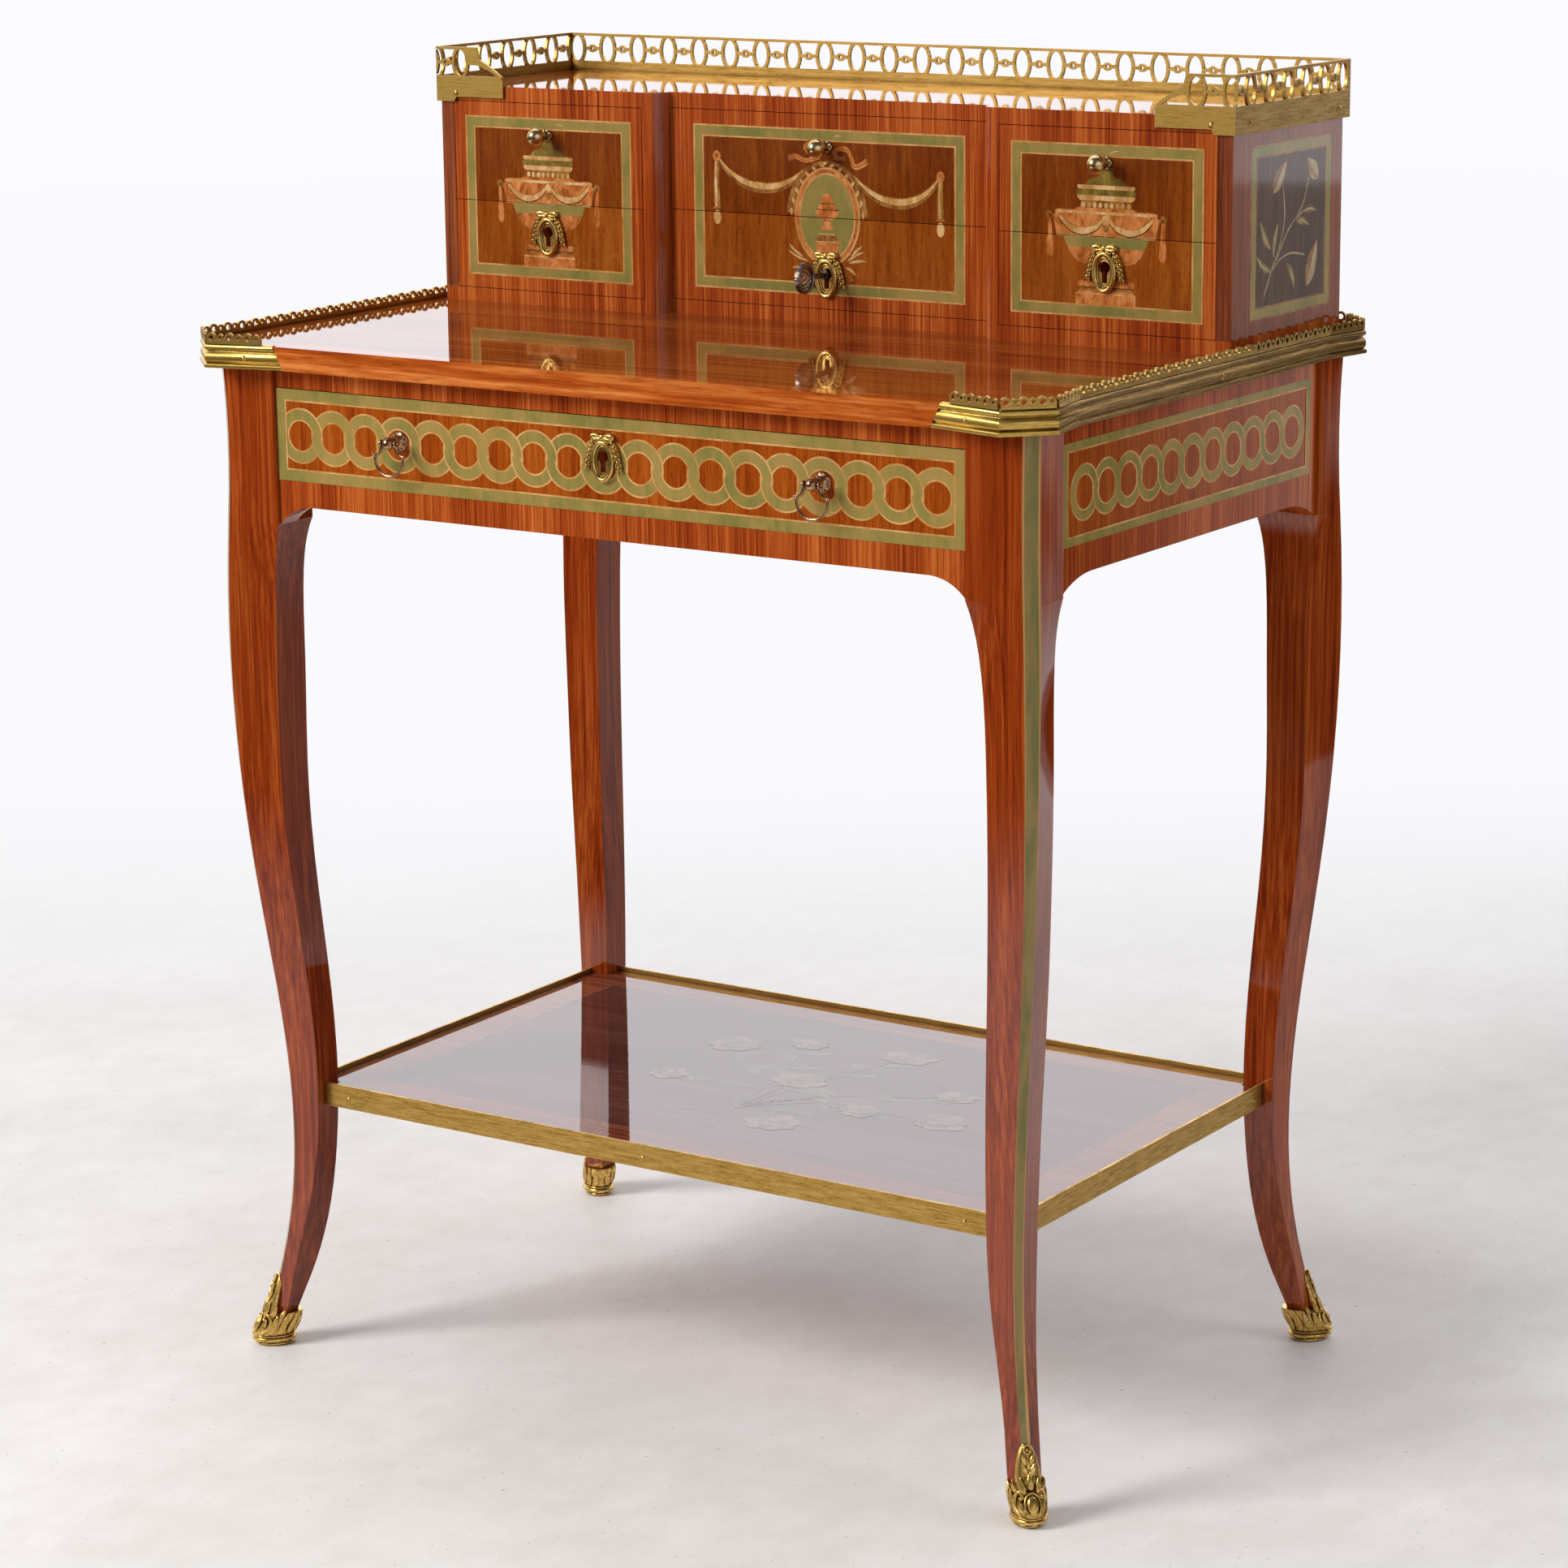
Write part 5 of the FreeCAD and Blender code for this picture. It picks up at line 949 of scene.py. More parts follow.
class BONHEUR_OT_side_panels(bpy.types.Operator):
    """Inlay the cabinet's sides with sprays of poppies"""
    bl_idname = "bonheur.side_panels"
    bl_label = "Side panel marquetry"

    EDGES = (73.0, 192.0, 768.0, 886.0)

    def execute(self, context):
        inlay = context.scene.bonheur_inlay
        line = (inlay.stringing, "shaded")
        for name, side in SIDES:
            work = Marquetry()
            work.panel(self.EDGES, "panel_field", (line, (inlay.band, "green"), line))
            self.spray(work)
            work.lay(f"marquetry_side_{name}", outer_face(f"cabinet_side_{name}", side),
                     "carcase", "cabinet_veneer")
        return {"FINISHED"}

    def spray(self, work):
        """Two buds, an open flower and their leaves."""
        stems = (((120, 856), (122.6, 834), (116, 816), (106, 802)),
                 ((158, 858), (148, 839), (127, 824), (111, 806)),
                 ((104, 799), (116, 806), (133, 809), (153, 806)),
                 ((106, 803), (103.6, 799), (93.5, 783)),
                 ((140, 831), (150, 836), (160, 838)))
        for line in stems:
            work.stroke(line, 1.3, "sycamore", 4)
        leaves = (((103, 814), (86.6, 836), 6.5), ((107, 808), (114, 832), 6.5),
                  ((103, 799), (80.5, 813), 6.0), ((140, 830), (160, 825.5), 5.5),
                  ((150, 836), (171, 834.5), 5.0), ((127, 803), (139, 783.5), 6.5))
        for base, tip, width in leaves:
            work.leaf(base, tip, width, "olive", 4, 0.08)
            work.leaf(base, tip, width * 0.35, "sycamore", 5, 0.08)
        for base, tip, width in (((105, 852), (125, 873), 12.0), ((172, 856.5), (155.5, 872), 12.0),
                                 ((157, 783.5), (172, 815), 14.0)):
            work.leaf(base, tip, width, "sycamore", 5)
            work.leaf(base, tip, width * 0.4, "shaded", 6, 0.1)


class BONHEUR_OT_shelf(bpy.types.Operator):
    """Inlay the shelf with a tied bunch of flowers"""
    bl_idname = "bonheur.shelf"
    bl_label = "Shelf marquetry"

    HALF_X, HALF_Y = 264.0, 149.0
    KNOT = (-1, -70)         # where the stems are tied

    def execute(self, context):
        work = Marquetry()
        work.panel((-self.HALF_X, self.HALF_X, -self.HALF_Y, self.HALF_Y), "shelf_field",
                   ((1.6, "flower_grey"),))
        for i, end in enumerate(((-40, -118), (-23, -125), (-6, -122), (10, -116), (-52, -108))):
            work.stroke([self.KNOT, end], (1.2, 1.8), "shaded_grey", 1.5 + 0.3 * i, soft=False)
        stems = ((-89, 63), (-41, 92), (42, 101), (-90, -24), (144, -23), (123, 33), (42, -85),
                 (81, -30), (3, 10))
        for i, (u, v) in enumerate(stems):
            work.stroke([self.KNOT, (u * 0.35, -20 + v * 0.25), (u * 0.8, v * 0.8 - 8), (u, v)],
                        1.2, "shaded_grey", 3 + 0.3 * i)
            self.flower(work, u, v, 15.0 if i % 2 else 20.0, i)
            for k, share in ((-1, 0.35), (1, 0.5), (-1, 0.68), (1, 0.82)):
                base = (u * share, v * share - 14 * (1 - share) - 10)
                tip = (base[0] + k * 24 + 3 * i, base[1] + 18 - 3 * i)
                work.leaf(base, tip, 10.0, "leaf_grey", 2 + share + i * 0.04, 0.12 * k)
        work.lay("marquetry_shelf", level_face(edge_mm("shelf_board", 1, 2)), "carcase",
                 "shelf_veneer")
        return {"FINISHED"}

    def flower(self, work, u, v, size, turn):
        """An open rose: two rounds of broad petals, shaded between, and a heart."""
        for k in range(7):
            angle = math.tau * k / 7 + turn
            reach = size * (0.62 + 0.06 * (k % 3))
            wood = "flower_grey" if k % 3 else "shaded_grey"
            work.oval(u + reach * math.cos(angle), v + reach * 0.85 * math.sin(angle),
                      size * 0.42, size * 0.36, wood, 6 + k * 0.3, 14)
        for k in range(5):
            angle = math.tau * k / 5 + turn * 2
            wood = "shaded_grey" if k % 2 else "flower_grey"
            work.oval(u + size * 0.3 * math.cos(angle), v + size * 0.26 * math.sin(angle),
                      size * 0.3, size * 0.24, wood, 8.4 + k * 0.3, 12)
        work.oval(u, v, size * 0.14, size * 0.12, "leaf_grey", 10, 10)


# ---------------------------------------------------------------- operators: brass
class BONHEUR_OT_moulding(bpy.types.Operator):
    """Draw the brass moulding round the top"""
    bl_idname = "bonheur.moulding"
    bl_label = "Top moulding"

    # Set back from the outer line, and height over the top's underside.
    PROFILE = ((1.6, 0.0), (0.5, 0.3), (0.0, 1.5), (0.4, 2.8), (1.6, 3.3), (2.0, 3.9), (1.2, 4.7),
               (0.8, 6.0), (0.8, 8.4), (1.2, 9.8), (2.1, 10.9), (2.8, 11.6), (2.8, 12.3),
               (1.6, 12.7), (0.9, 13.6), (0.8, 14.9), (1.3, 16.2), (2.6, 17.0), (5.0, 17.0),
               (5.0, 0.0))
    CUT = 28.0               # how far the outset corners are cut
    SLACK = 0.1              # keeps the cut itself in the front's brass
    SWELL = (7.0, 40.0)      # how far the sides draw in behind a corner, and along what length
    EAR = 14.0               # from the front straight back to the lipping's end
    LEAN = (8.0, 16.5)       # the lipping's ends lean outward so far over so great a height

    def execute(self, context):
        low = edge_mm("top_moulding", 0, 2)
        line = self.outline()
        rings = []
        for i, (place, move) in enumerate(zip(line, self.mitres(line))):
            ring = []
            for back, rise in self.PROFILE:
                spot = Vector((place.x + move.x * back, place.y + move.y * back, low + rise))
                if i in (0, len(line) - 1):
                    way = line[1] - line[0] if i == 0 else line[-1] - line[-2]
                    lean = self.LEAN[0] / self.LEAN[1] * rise
                    target = math.copysign(abs(place.x) + lean, place.x)
                    spot += way.to_3d() * ((target - spot.x) / way.x)
                ring.append(spot)
            rings.append(ring)
        bm = bmesh.new()
        loft(bm, rings)
        side = edge_mm("top_moulding", 1, 0) - self.CUT + self.SLACK
        # Faces along the sides take the darker copy of the brass: painted shade on the sides.
        for face in bm.faces:
            face.material_index = int(all(abs(v.co.x) > side for v in face.verts))
        finish_piece("brass_moulding", bm, ("drawn_moulding", "painted_shade_moulding"), "carcase",
                     ("top_moulding",), sharp=50.0)
        return {"FINISHED"}

    def outline(self):
        """The top's outer line from the lipping's right end round the back to its left end."""
        side, front = edge_mm("top_moulding", 1, 0), edge_mm("top_moulding", 1, 1)
        lipping = edge_mm("top_front_edge", 1, 0) - self.LEAN[0]
        quarter = [(lipping, -front + self.EAR), (side - self.CUT, -front),
                   (side, -front + self.CUT),
                   (side - self.SWELL[0], -front + self.CUT + self.SWELL[1])]
        right = quarter + [(x, -y) for x, y in reversed(quarter)]
        return [Vector(spot) for spot in right + [(-x, y) for x, y in reversed(right)]]

    def mitres(self, line):
        """For each point of the line, how far a unit of set back moves it."""
        moves = []
        for before, here, after in zip(line[-1:] + line[:-1], line, line[1:] + line[:1]):
            a, b = (here - before).normalized(), (after - here).normalized()
            left, right = Vector((-a.y, a.x)), Vector((-b.y, b.x))
            moves.append((left + right) / (1 + left.dot(right)))
        return moves


class BONHEUR_OT_keyhole_plates(bpy.types.Operator):
    """Cast the four keyhole plates with their bows and laurel"""
    bl_idname = "bonheur.keyhole_plates"
    bl_label = "Keyhole plates"

    RISE = 14.5              # from a plate's lowest point up to its centre

    def execute(self, context):
        plates = [(f"escutcheon_{bay}", f"drawer_lower_{bay}") for bay in BAYS]
        plates.append(("long_drawer_escutcheon", "long_drawer"))
        for node, body in plates:
            centre = front_face(edge_mm(node, 1, 1), middle_mm(node, 0),
                                edge_mm(node, 0, 2) + self.RISE)
            bm = bmesh.new()
            self.plate(bm, centre)
            self.laurel(bm, centre)
            self.bow(bm, centre)
            finish_piece(f"cast_{node}", bm, ["gilt_casting"], body, (node,),
                         sharp=60.0)
        return {"FINISHED"}

    def plate(self, bm, face):
        """Oval plate bored for the key, in a thick rim with a bead inside."""
        keyhole = [(2.0, -7.4), (-2.0, -7.4)]
        keyhole += oval_points(0, 3.0, 4.2, 4.2, 22, math.radians(242), -math.radians(304))
        starts = [math.atan2(v, u) for u, v in keyhole]
        oval = [(8.4 * math.cos(t), 13.4 * math.sin(t)) for t in starts]
        rings = [[face @ Vector((u, v, out)) for u, v in line]
                 for line, out in ((keyhole, 0.0), (keyhole, 1.5), (oval, 1.9), (oval, 0.0))]
        loft(bm, rings + rings[:1], closed=False)
        for half_u, half_v, radius in ((7.8, 12.7, 1.8), (5.4, 10.2, 0.5)):
            oval_bar(bm, face, half_u, half_v, 2.3, radius)
        lobe(bm, face, (0, -14.4), (0, -9.6), 3.2, 1.1, 3.0)

    def laurel(self, bm, face):
        """A branch of laurel that hangs down each side from the bow."""
        for side in (-1, 1):
            stem = [(side * u, v) for u, v in ((2.5, 15.5), (8.0, 13.6), (11.4, 8.5), (12.8, 2.0),
                                               (13.4, -4.5))]
            bar(bm, path_on(face, stem, 1.2), 1.2, (1.2, 1.1, 1.0, 0.9, 0.6))
            for i in range(7):
                t = i / 6
                u = side * (4.5 + 8.6 * t ** 0.55)
                v = 15.0 - 18.0 * t ** 1.25
                lean = math.radians(-62 - 24 * t)
                for turn, reach in ((0.5, 4.8), (-0.5, 4.6)):
                    tip = (u + side * math.cos(lean + turn) * reach,
                           v + math.sin(lean + turn) * reach)
                    lobe(bm, face, (u, v), tip, 3.1, 1.5, 1.6, 0.6)
                bead(bm, at(face, u, v, 2.6), 1.1)

    def bow(self, bm, face):
        """Ribbon tied in two loops with a knot and short ends."""
        for side in (-1, 1):
            loop = ((0.6, 16.4), (4.0, 17.7), (7.8, 17.4), (8.6, 15.8), (5.6, 14.6), (1.0, 15.6))
            bar(bm, path_on(face, [(side * u, v) for u, v in loop], 2.2), 1.3,
                (0.8, 1.1, 1.3, 1.3, 1.1, 0.8))
            end = ((1.2, 15.0), (3.6, 12.8), (5.8, 12.6))
            bar(bm, path_on(face, [(side * u, v) for u, v in end], 2.6), 0.8, (1.0, 1.2, 0.8))
        bead(bm, at(face, 0, 16.2, 2.6), (2.0, 2.2, 1.4))


class BONHEUR_OT_knobs(bpy.types.Operator):
    """Turn the three ball knobs"""
    bl_idname = "bonheur.knobs"
    bl_label = "Ball knobs"

    BALL = 6.7
    BALL_OUT = 14.0

    def execute(self, context):
        for bay in BAYS:
            knob, drawer = f"knob_{bay}", f"drawer_upper_{bay}"
            face = front_face(edge_mm(f"{drawer}_front", 0, 1), middle_mm(knob, 0),
                              middle_mm(knob, 2))
            bm = bmesh.new()
            turned(bm, self.profile(), face)
            for u, v in oval_points(0, 0, 3.7, 3.7, 8, math.pi / 8):
                bead(bm, at(face, u, v, 1.7), 1.35)
            finish_piece(f"ball_{knob}", bm, ["ball_brass"], drawer, (knob,),
                         sharp=50.0)
        return {"FINISHED"}

    def profile(self):
        """Flange, neck with a ring, and ball."""
        neck = [(0, 0), (4.6, 0), (4.6, 0.8), (3.8, 1.4), (2.6, 2.0), (2.0, 3.2), (2.0, 5.0),
                (2.7, 5.7), (3.3, 6.3), (3.4, 6.9), (2.9, 7.4), (2.3, 7.6)]
        start = math.asin(2.3 / self.BALL)
        turns = [start + (math.pi - start) * i / 12 for i in range(13)]
        return neck + [(max(self.BALL * math.sin(t), 0.0), self.BALL_OUT - self.BALL * math.cos(t))
                       for t in turns[1:]]


class BONHEUR_OT_handles(bpy.types.Operator):
    """Turn the handle posts and bend the two drop handles"""
    bl_idname = "bonheur.handles"
    bl_label = "Drop handles"

    PIVOT_OUT = 12.5

    def execute(self, context):
        front = edge_mm("long_drawer_front", 0, 1)
        posts = bmesh.new()
        for name, _ in SIDES:
            face = front_face(front, middle_mm(f"bail_{name}", 0), middle_mm("handle_posts", 2))
            self.post(posts, face)
            bm = bmesh.new()
            self.bail(bm, face)
            finish_piece(f"drop_handle_{name}", bm, ["tarnished_bronze"], f"handle_{name}",
                         (f"bail_{name}",), sharp=60.0)
        finish_piece("turned_posts", posts, ["tarnished_bronze"], "long_drawer",
                     ("handle_posts",), sharp=50.0)
        return {"FINISHED"}

    def post(self, bm, face):
        """Rosette, stem, flower head and the cross pin."""
        turned(bm, ((0, 0), (7.0, 0), (7.0, 0.7), (6.3, 1.4), (5.2, 1.7), (4.6, 2.2), (3.4, 3.0),
                    (2.8, 4.8), (2.6, 7.0), (3.2, 8.2), (3.6, 9.0), (3.1, 9.8), (3.6, 10.4),
                    (4.4, 11.4), (4.6, 12.8), (4.1, 14.4), (3.0, 15.8), (1.6, 16.8), (0, 17.0)),
               face)
        for base, tip in zip(oval_points(0, 0, 0.8, 0.8, 6), oval_points(0, 0, 4.0, 4.0, 6)):
            lobe(bm, face, base, tip, 2.2, 0.6, 15.9, -1.6)
        for u, v in oval_points(0, 0, 6.0, 6.0, 12):
            bead(bm, at(face, u, v, 1.5), 0.8)
        bar(bm, path_on(face, [(u, 0) for u in (-8.0, -2.6, 2.6, 8.0)], self.PIVOT_OUT), 1.0)

    def bail(self, bm, face):
        """Eyes, arms that spread to little horns, and the round loop between them."""
        for side in (-1, 1):
            eye = [face @ Vector((side * 6.0, v, out))
                   for out, v in oval_points(self.PIVOT_OUT, 0, 1.8, 1.8, 12)]
            bar(bm, eye, 0.9, closed=True)
            arm = [(side * u, v) for u, v in ((6.0, -1.6), (6.2, -3.6), (7.6, -6.4), (10.4, -8.4),
                                              (13.0, -8.4))]
            bar(bm, path_on(face, arm, self.PIVOT_OUT), 1.15, (1.1, 1.2, 1.1, 1.0, 0.8))
            bead(bm, at(face, side * 13.1, -8.3, self.PIVOT_OUT), 1.25)
            bead(bm, at(face, side * 12.0, -9.2, self.PIVOT_OUT), 1.4)
        count = 15
        loop = oval_points(0, -10.9, 12.1, 12.1, count, math.radians(171), math.radians(198))
        swell = [0.85 + 0.4 * math.sin(math.pi * i / (count - 1)) ** 2 for i in range(count)]
        bar(bm, path_on(face, loop, self.PIVOT_OUT), 1.0, swell)


class BONHEUR_OT_key(bpy.types.Operator):
    """Fill the key's bow with scrolls"""
    bl_idname = "bonheur.key"
    bl_label = "Key bow"

    BOW = 11.0               # outer radius

    def execute(self, context):
        centre = (0, edge_mm("key", 0, 1) + self.BOW, edge_mm("key", 1, 2) - self.BOW)
        face = face_matrix((0, 1, 0), (0, 0, 1), (1, 0, 0), centre)
        bm = bmesh.new()
        for radius, thick, out in ((9.6, 1.2, 1.1), (9.6, 1.2, -1.1), (6.9, 0.6, 0.0)):
            oval_bar(bm, face, radius, radius, out, thick, 20)
        for side in (-1, 1):
            scroll = ((8.6, 0.6), (5.0, 1.2), (1.0, 4.6), (-3.4, 4.8), (-4.8, 2.4), (-2.8, 1.0),
                      (-1.4, 2.4))
            bar(bm, path_on(face, [(u, side * v) for u, v in scroll], 0.0), 0.9,
                (1.2, 1.1, 1.0, 1.0, 0.9, 0.8, 0.8))
            lobe(bm, face, (-4.6, side * 3.0), (-8.8, side * 1.0), 2.4, 0.9)
        bead(bm, at(face, -10.2, 0, 0), (1.6, 1.6, 1.8))
        bead(bm, at(face, 0.4, 0, 0), 1.2)
        finish_piece("key_scrolls", bm, ["key_steel"], "key", sharp=60.0)
        return {"FINISHED"}


class BONHEUR_OT_feet(bpy.types.Operator):
    """Chase the cast feet: roll, cabochon, scrolls and a lobed leaf up the corner"""
    bl_idname = "bonheur.feet"
    bl_label = "Cast feet"

    # Rings up the foot: height, centre out along the diagonal from the post's corner,
    # half length out along it, and half width across it.
    RINGS = ((0.0, -14.5, 11.0, 8.0), (3.0, -14.1, 13.6, 10.0), (8.5, -13.1, 15.3, 11.3),
             (16.0, -17.0, 14.6, 11.3), (25.0, -20.5, 14.4, 11.3), (30.0, -16.0, 6.0, 9.4),
             (43.0, -18.0, 4.0, 7.4), (53.0, -20.0, 2.7, 3.4))
    SPLAY = (1.5, 146.5)     # a leg's lean along X and Y at the floor, and where it ends

    def execute(self, context):
        for name, side in SIDES:
            for row, back in (("front", 1), ("rear", -1)):
                bm = bmesh.new()
                self.relief(bm)
                bmesh.ops.scale(bm, vec=(side, back, 1), verts=bm.verts[:])
                finish_piece(f"foot_relief_{row}_{name}", bm, ["gilt_casting"], "carcase",
                             sharp=60.0)
        return {"FINISHED"}

    def ring(self, z):
        """Centre and half sizes of the foot at a height."""
        for low, high in zip(self.RINGS, self.RINGS[1:]):
            if z <= high[0]:
                share = max(0.0, (z - low[0]) / (high[0] - low[0]))
                return [a + (b - a) * share for a, b in zip(low[1:], high[1:])]
        return self.RINGS[-1][1:]

    def skin(self, turn, z, out=0.0):
        """A place on the foot's skin; the turn is 0 at the toe."""
        centre, half_out, half_across = self.ring(z)
        angle = math.radians(turn)
        away = centre + (half_out + out) * math.cos(angle)
        across = (half_across + out) * math.sin(angle)
        splay, top = self.SPLAY
        lean = splay * max(0.0, 1 - z / top)
        return Vector((POST[0] + (away + across) / ROOT2 + lean,
                       -POST[1] - (away - across) / ROOT2 + lean, z))

    def face(self, turn, z):
        """The foot's skin as a face: across, up and out."""
        here = self.skin(turn, z)
        up = (self.skin(turn, z + 1) - self.skin(turn, z - 1)).normalized()
        across = (self.skin(turn + 4, z) - self.skin(turn - 4, z)).normalized()
        out = across.cross(up).normalized()
        if out.dot(self.skin(turn, z, 1.0) - here) < 0:
            out = -out
        return face_matrix(across, up, out, here)

    def scroll(self, bm, line, radius, swell=None, out=0.3):
        """A bar on the foot's skin through turns and heights."""
        bar(bm, [self.skin(turn, z, out) for turn, z in line], radius, swell)

    def relief(self, bm):
        """Roll, toe, cabochon, scrolls, gadroons and leaves."""
        for z, radius, out in ((1.3, 1.3, 0.6), (4.9, 1.9, 0.4), (7.6, 0.7, 0.7)):
            bar(bm, [self.skin(turn, z, out) for turn in range(0, 360, 15)], radius, closed=True)
        for turn in range(-120, 121, 30):
            lobe(bm, self.face(turn, 3.4), (-1.6, 0), (1.6, 2.6), 2.2, 1.0, 1.2)
        toe = self.face(0, 16.0)
        bead(bm, at(toe, 0, 0, 0.2), (4.3, 6.6, 2.8))
        oval_bar(bm, toe, 5.4, 8.0, 0.6, 0.8)
        for side in (-1, 1):
            self.scroll(bm, [(side * 22, 7.5), (side * 44, 8.5), (side * 62, 13), (side * 60, 19.5),
                             (side * 44, 24), (side * 30, 23), (side * 30, 19.5)], 1.3,
                        (0.9, 1.2, 1.3, 1.2, 1.1, 1.0, 0.9))
            bead(bm, Matrix.Translation(self.skin(side * 34, 20.0, 0.6)), 1.5)
            for turn, low, high, width in ((40, 9, 21, 6.0), (72, 8, 25, 6.5), (100, 8, 26, 6.5),
                                           (128, 8, 26, 6.5), (156, 8, 24, 6.0)):
                lobe(bm, self.face(side * turn, (low + high) / 2), (0, (low - high) / 2),
                     (0, (high - low) / 2), width, 1.7, 0.2, 0.8)
            for turn, low, high, width in ((26, 22, 34, 5.4), (56, 22, 31, 5.4), (84, 22, 29, 5.0)):
                lobe(bm, self.face(side * turn, low), (0, 0), (side * 1.2, high - low), width,
                     1.5, 0.3, 0.6)
            for low, reach, rise in ((28, 5.0, 9.0), (34, 4.6, 8.5), (40, 3.8, 7.5)):
                lobe(bm, self.face(0, low), (side * 1.4, 0), (side * reach, rise), 4.0, 1.3, 0.4,
                     0.3)
        lobe(bm, self.face(0, 25), (0, 0), (0, 14), 5.2, 1.7, 0.3, 0.2)
        lobe(bm, self.face(0, 37), (0, 0), (0, 11), 3.6, 1.3, 0.4, 0.1)
        tip = self.face(0, 50)
        oval_bar(bm, tip, 2.3, 2.9, 0.5, 0.8)
        bead(bm, at(tip, 0, 0, 0.4), (1.2, 1.7, 0.9))


class BONHEUR_OT_stage(bpy.types.Operator):
    """Set the floor, the lights, the world and the camera"""
    bl_idname = "bonheur.stage"
    bl_label = "Stage, light and camera"

    def execute(self, context):
        stage = context.scene.bonheur_stage
        self.floor()
        self.world(stage)
        self.lamps(stage)
        self.camera(stage)
        context.scene.view_settings.view_transform = "Standard"
        return {"FINISHED"}

    # In metres: the floor's radius, and how far back it mirrors the dark past the backdrop.
    FLOOR = 9.0
    WALL = 1.2

    def floor(self):
        """Pale studio floor that fades to white far from the table."""
        bm = bmesh.new()
        bmesh.ops.create_circle(bm, cap_ends=True, radius=self.FLOOR, segments=96)
        mesh = bpy.data.meshes.new("studio_floor")
        bm.to_mesh(mesh)
        bm.free()
        floor = bpy.data.objects.new("studio_floor", mesh)
        bpy.context.scene.collection.objects.link(floor)
        # Painted screed, pale and matt, with scuffs and specks of dirt.
        material, tree, shader = new_material("painted_screed")
        cloud = pattern(tree, (260, 260, 260), 3.0, 0.55)
        scuff = pattern(tree, (30, 44, 30), 4.0, 0.7, 0.0, 8.8)
        tone = sum_of(tree, 0.6, cloud, 0.4, scuff)
        paint = ramp(tree, tone, (0.36, 0.6), ("#e6e1dc", "#f3efeb"))
        specks = pattern(tree, (4, 5, 4), 2.0, 0.6, 0.0, 1.9)
        dirt = ramp(tree, specks, (0.24, 0.3), ((0.55, 0.53, 0.5, 1), WHITE))
        put(tree, shader, {
            "Base Color": blend(tree, 1.0, paint, dirt, "MULTIPLY"), "Roughness": 0.6})
        x, y, _ = coordinates(tree)
        rays = add_node(tree, "ShaderNodeLightPath").outputs
        away = remap(tree, sum_of(tree, -0.55, x, 0.83, y), (0.35, 1.9))
        faded = compute(tree, "MULTIPLY", away, rays["Is Camera Ray"])
        white = add_node(tree, "ShaderNodeEmission", {"Color": srgb("#fafafd")})
        lit = add_node(tree, "ShaderNodeMixShader", {
            0: faded, 1: shader.outputs["BSDF"], 2: white.outputs[0]})
        # In the polish the studio is dark to the left front and past the backdrop's right edge.
        front_dark = remap(tree, sum_of(tree, -0.5, x, -0.85, y), (0.75, 1.7))
        right_dark = remap(tree, sum_of(tree, 1.0, x, -BACKDROP_EDGE, y), (0.0, 0.5))
        behind_dark = compute(tree, "MULTIPLY", right_dark, compute(tree, "GREATER_THAN", y, self.WALL))
        either = compute(tree, "MAXIMUM", front_dark, behind_dark)
        dark = compute(tree, "MULTIPLY", either, rays["Is Glossy Ray"])
        night = add_node(tree, "ShaderNodeEmission", {"Color": srgb("#302c28")})
        mixed = add_node(tree, "ShaderNodeMixShader", {
            0: dark, 1: lit.outputs[0], 2: night.outputs[0]})
        output = next(n for n in tree.nodes if n.type == "OUTPUT_MATERIAL")
        put(tree, output, {"Surface": mixed.outputs[0]})
        mesh.materials.append(material)

    def world(self, stage):
        """White backdrop behind, a pale screen to the right front, and a dark studio."""
        world = bpy.data.worlds.new("studio")
        bpy.context.scene.world = world
        world.use_nodes = True
        tree = world.node_tree
        tree.nodes.clear()
        x, y, z = coordinates(tree, "Generated")
        rays = add_node(tree, "ShaderNodeLightPath")
        behind = remap(tree, sum_of(tree, -0.3, x, 0.95, y), (-0.2, 0.4))
        edge = remap(tree, sum_of(tree, 1.0, x, -BACKDROP_EDGE, y), (0.03, -0.05))
        tall = remap(tree, z, (0.08, 0.32), (1.3, 2.1), "LINEAR")
        backdrop = compute(tree, "MULTIPLY", compute(tree, "MULTIPLY", behind, edge), tall)
        screen = remap(tree, sum_of(tree, 0.86, x, -0.5, y), (0.7, 0.95), (0.08, 0.9))
        shine = compute(tree, "ADD", backdrop, screen)
        level = add_node(tree, "ShaderNodeMix", {
            0: rays.outputs["Is Glossy Ray"], 2: stage.world, 3: shine}).outputs[0]
        seen = add_node(tree, "ShaderNodeMix", {
            0: rays.outputs["Is Camera Ray"], 2: level, 3: 1.0}).outputs[0]
        light = add_node(tree, "ShaderNodeBackground", {
            "Color": srgb("#fbfbff"), "Strength": seen})
        add_node(tree, "ShaderNodeOutputWorld", {"Surface": light.outputs[0]})

    def lamps(self, stage):
        """A large soft key from the upper left front and a weak one from the right."""
        for name, spot, aim, size, power in (
                ("key", (-2.1, -2.9, 2.55), (0, 0, 0.5), 1.5, stage.key),
                ("side", (2.6, 0.6, 1.8), (0, 0, 0.5), 1.4, stage.fill)):
            lamp = bpy.data.lights.new(name, "AREA")
            lamp.energy = power
            lamp.size = size
            holder = bpy.data.objects.new(name, lamp)
            holder.location = spot
            way = Vector(aim) - Vector(spot)
            holder.rotation_euler = way.to_track_quat("-Z", "Y").to_euler()
            holder.visible_camera = False
            holder.visible_glossy = name == "key"
            bpy.context.scene.collection.objects.link(holder)

    AIM = (33.52, -13.26, -0.614)        # turn, pitch and roll, in degrees
    EYE = (1721.2, -2600.4, 1157.7)

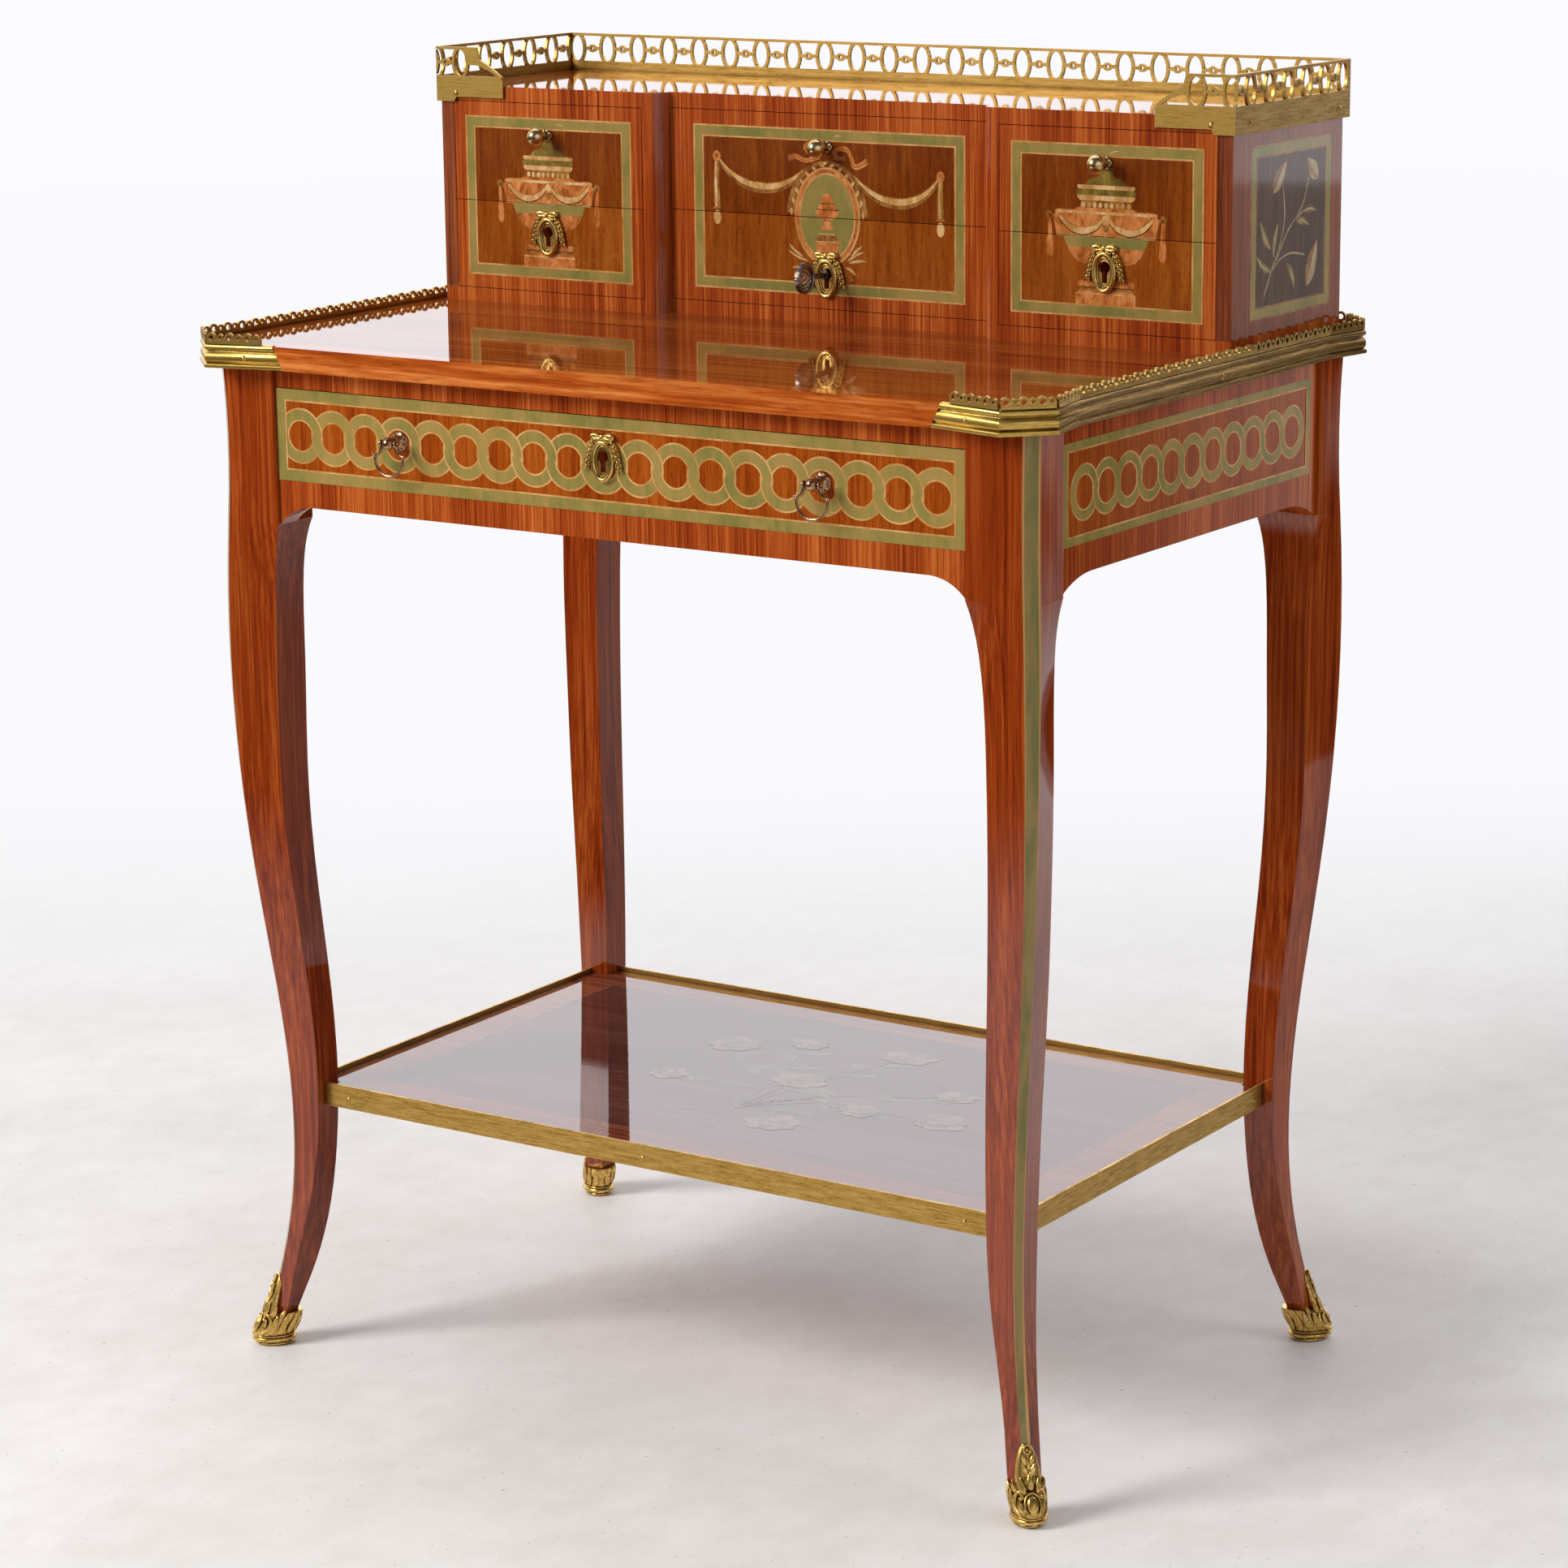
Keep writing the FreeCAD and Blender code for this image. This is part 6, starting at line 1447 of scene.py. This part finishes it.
    def camera(self, stage):
        """Long lens from the front right, a little above the top."""
        turn, pitch, roll = (math.radians(angle) for angle in self.AIM)
        ahead = Vector((-math.sin(turn) * math.cos(pitch), math.cos(turn) * math.cos(pitch),
                        math.sin(pitch)))
        right = Vector((math.cos(turn), math.sin(turn), 0))
        up = right.cross(ahead)
        across = math.cos(roll) * right + math.sin(roll) * up
        high = -math.sin(roll) * right + math.cos(roll) * up
        lens = bpy.data.cameras.new("view")
        lens.lens = stage.lens
        lens.sensor_width = 36.0
        lens.clip_end = 60.0
        holder = bpy.data.objects.new("view", lens)
        holder.matrix_world = face_matrix(across, high, -ahead, Vector(self.EYE) * MM)
        bpy.context.scene.collection.objects.link(holder)
        bpy.context.scene.camera = holder


class BONHEUR_PT_panel(bpy.types.Panel):
    """Lists the steps and their sizes"""
    bl_label = "Bonheur du jour"
    bl_idname = "BONHEUR_PT_panel"
    bl_space_type = "VIEW_3D"
    bl_region_type = "UI"
    bl_category = "Bonheur"

    def draw(self, context):
        layout = self.layout
        for group in (context.scene.bonheur_wood, context.scene.bonheur_inlay,
                      context.scene.bonheur_stage):
            for name in group.bl_rna.properties.keys():
                if name not in ("rna_type", "name"):
                    layout.prop(group, name)
        for step in STEPS:
            layout.operator(step.bl_idname)


STEPS = (BONHEUR_OT_woods, BONHEUR_OT_metals, BONHEUR_OT_small_drawers, BONHEUR_OT_frieze,
         BONHEUR_OT_side_panels, BONHEUR_OT_shelf, BONHEUR_OT_moulding,
         BONHEUR_OT_keyhole_plates, BONHEUR_OT_knobs, BONHEUR_OT_handles, BONHEUR_OT_key,
         BONHEUR_OT_feet, BONHEUR_OT_stage)
GROUPS = (("bonheur_wood", WoodSettings), ("bonheur_inlay", InlaySettings),
          ("bonheur_stage", StageSettings))


def register():
    """Add the classes and the settings."""
    for name, group in GROUPS:
        bpy.utils.register_class(group)
        setattr(bpy.types.Scene, name, PointerProperty(type=group))
    for step in STEPS:
        bpy.utils.register_class(step)
    bpy.utils.register_class(BONHEUR_PT_panel)


def unregister():
    """Take the classes and the settings away again."""
    bpy.utils.unregister_class(BONHEUR_PT_panel)
    for step in reversed(STEPS):
        bpy.utils.unregister_class(step)
    for name, group in reversed(GROUPS):
        delattr(bpy.types.Scene, name)
        bpy.utils.unregister_class(group)


def main():
    """Dress the table, one step after another."""
    register()
    bpy.ops.bonheur.woods()
    bpy.ops.bonheur.metals()
    bpy.ops.bonheur.small_drawers()
    bpy.ops.bonheur.frieze()
    bpy.ops.bonheur.side_panels()
    bpy.ops.bonheur.shelf()
    bpy.ops.bonheur.moulding()
    bpy.ops.bonheur.keyhole_plates()
    bpy.ops.bonheur.knobs()
    bpy.ops.bonheur.handles()
    bpy.ops.bonheur.key()
    bpy.ops.bonheur.feet()
    bpy.ops.bonheur.stage()


if __name__ == "__main__":
    main()
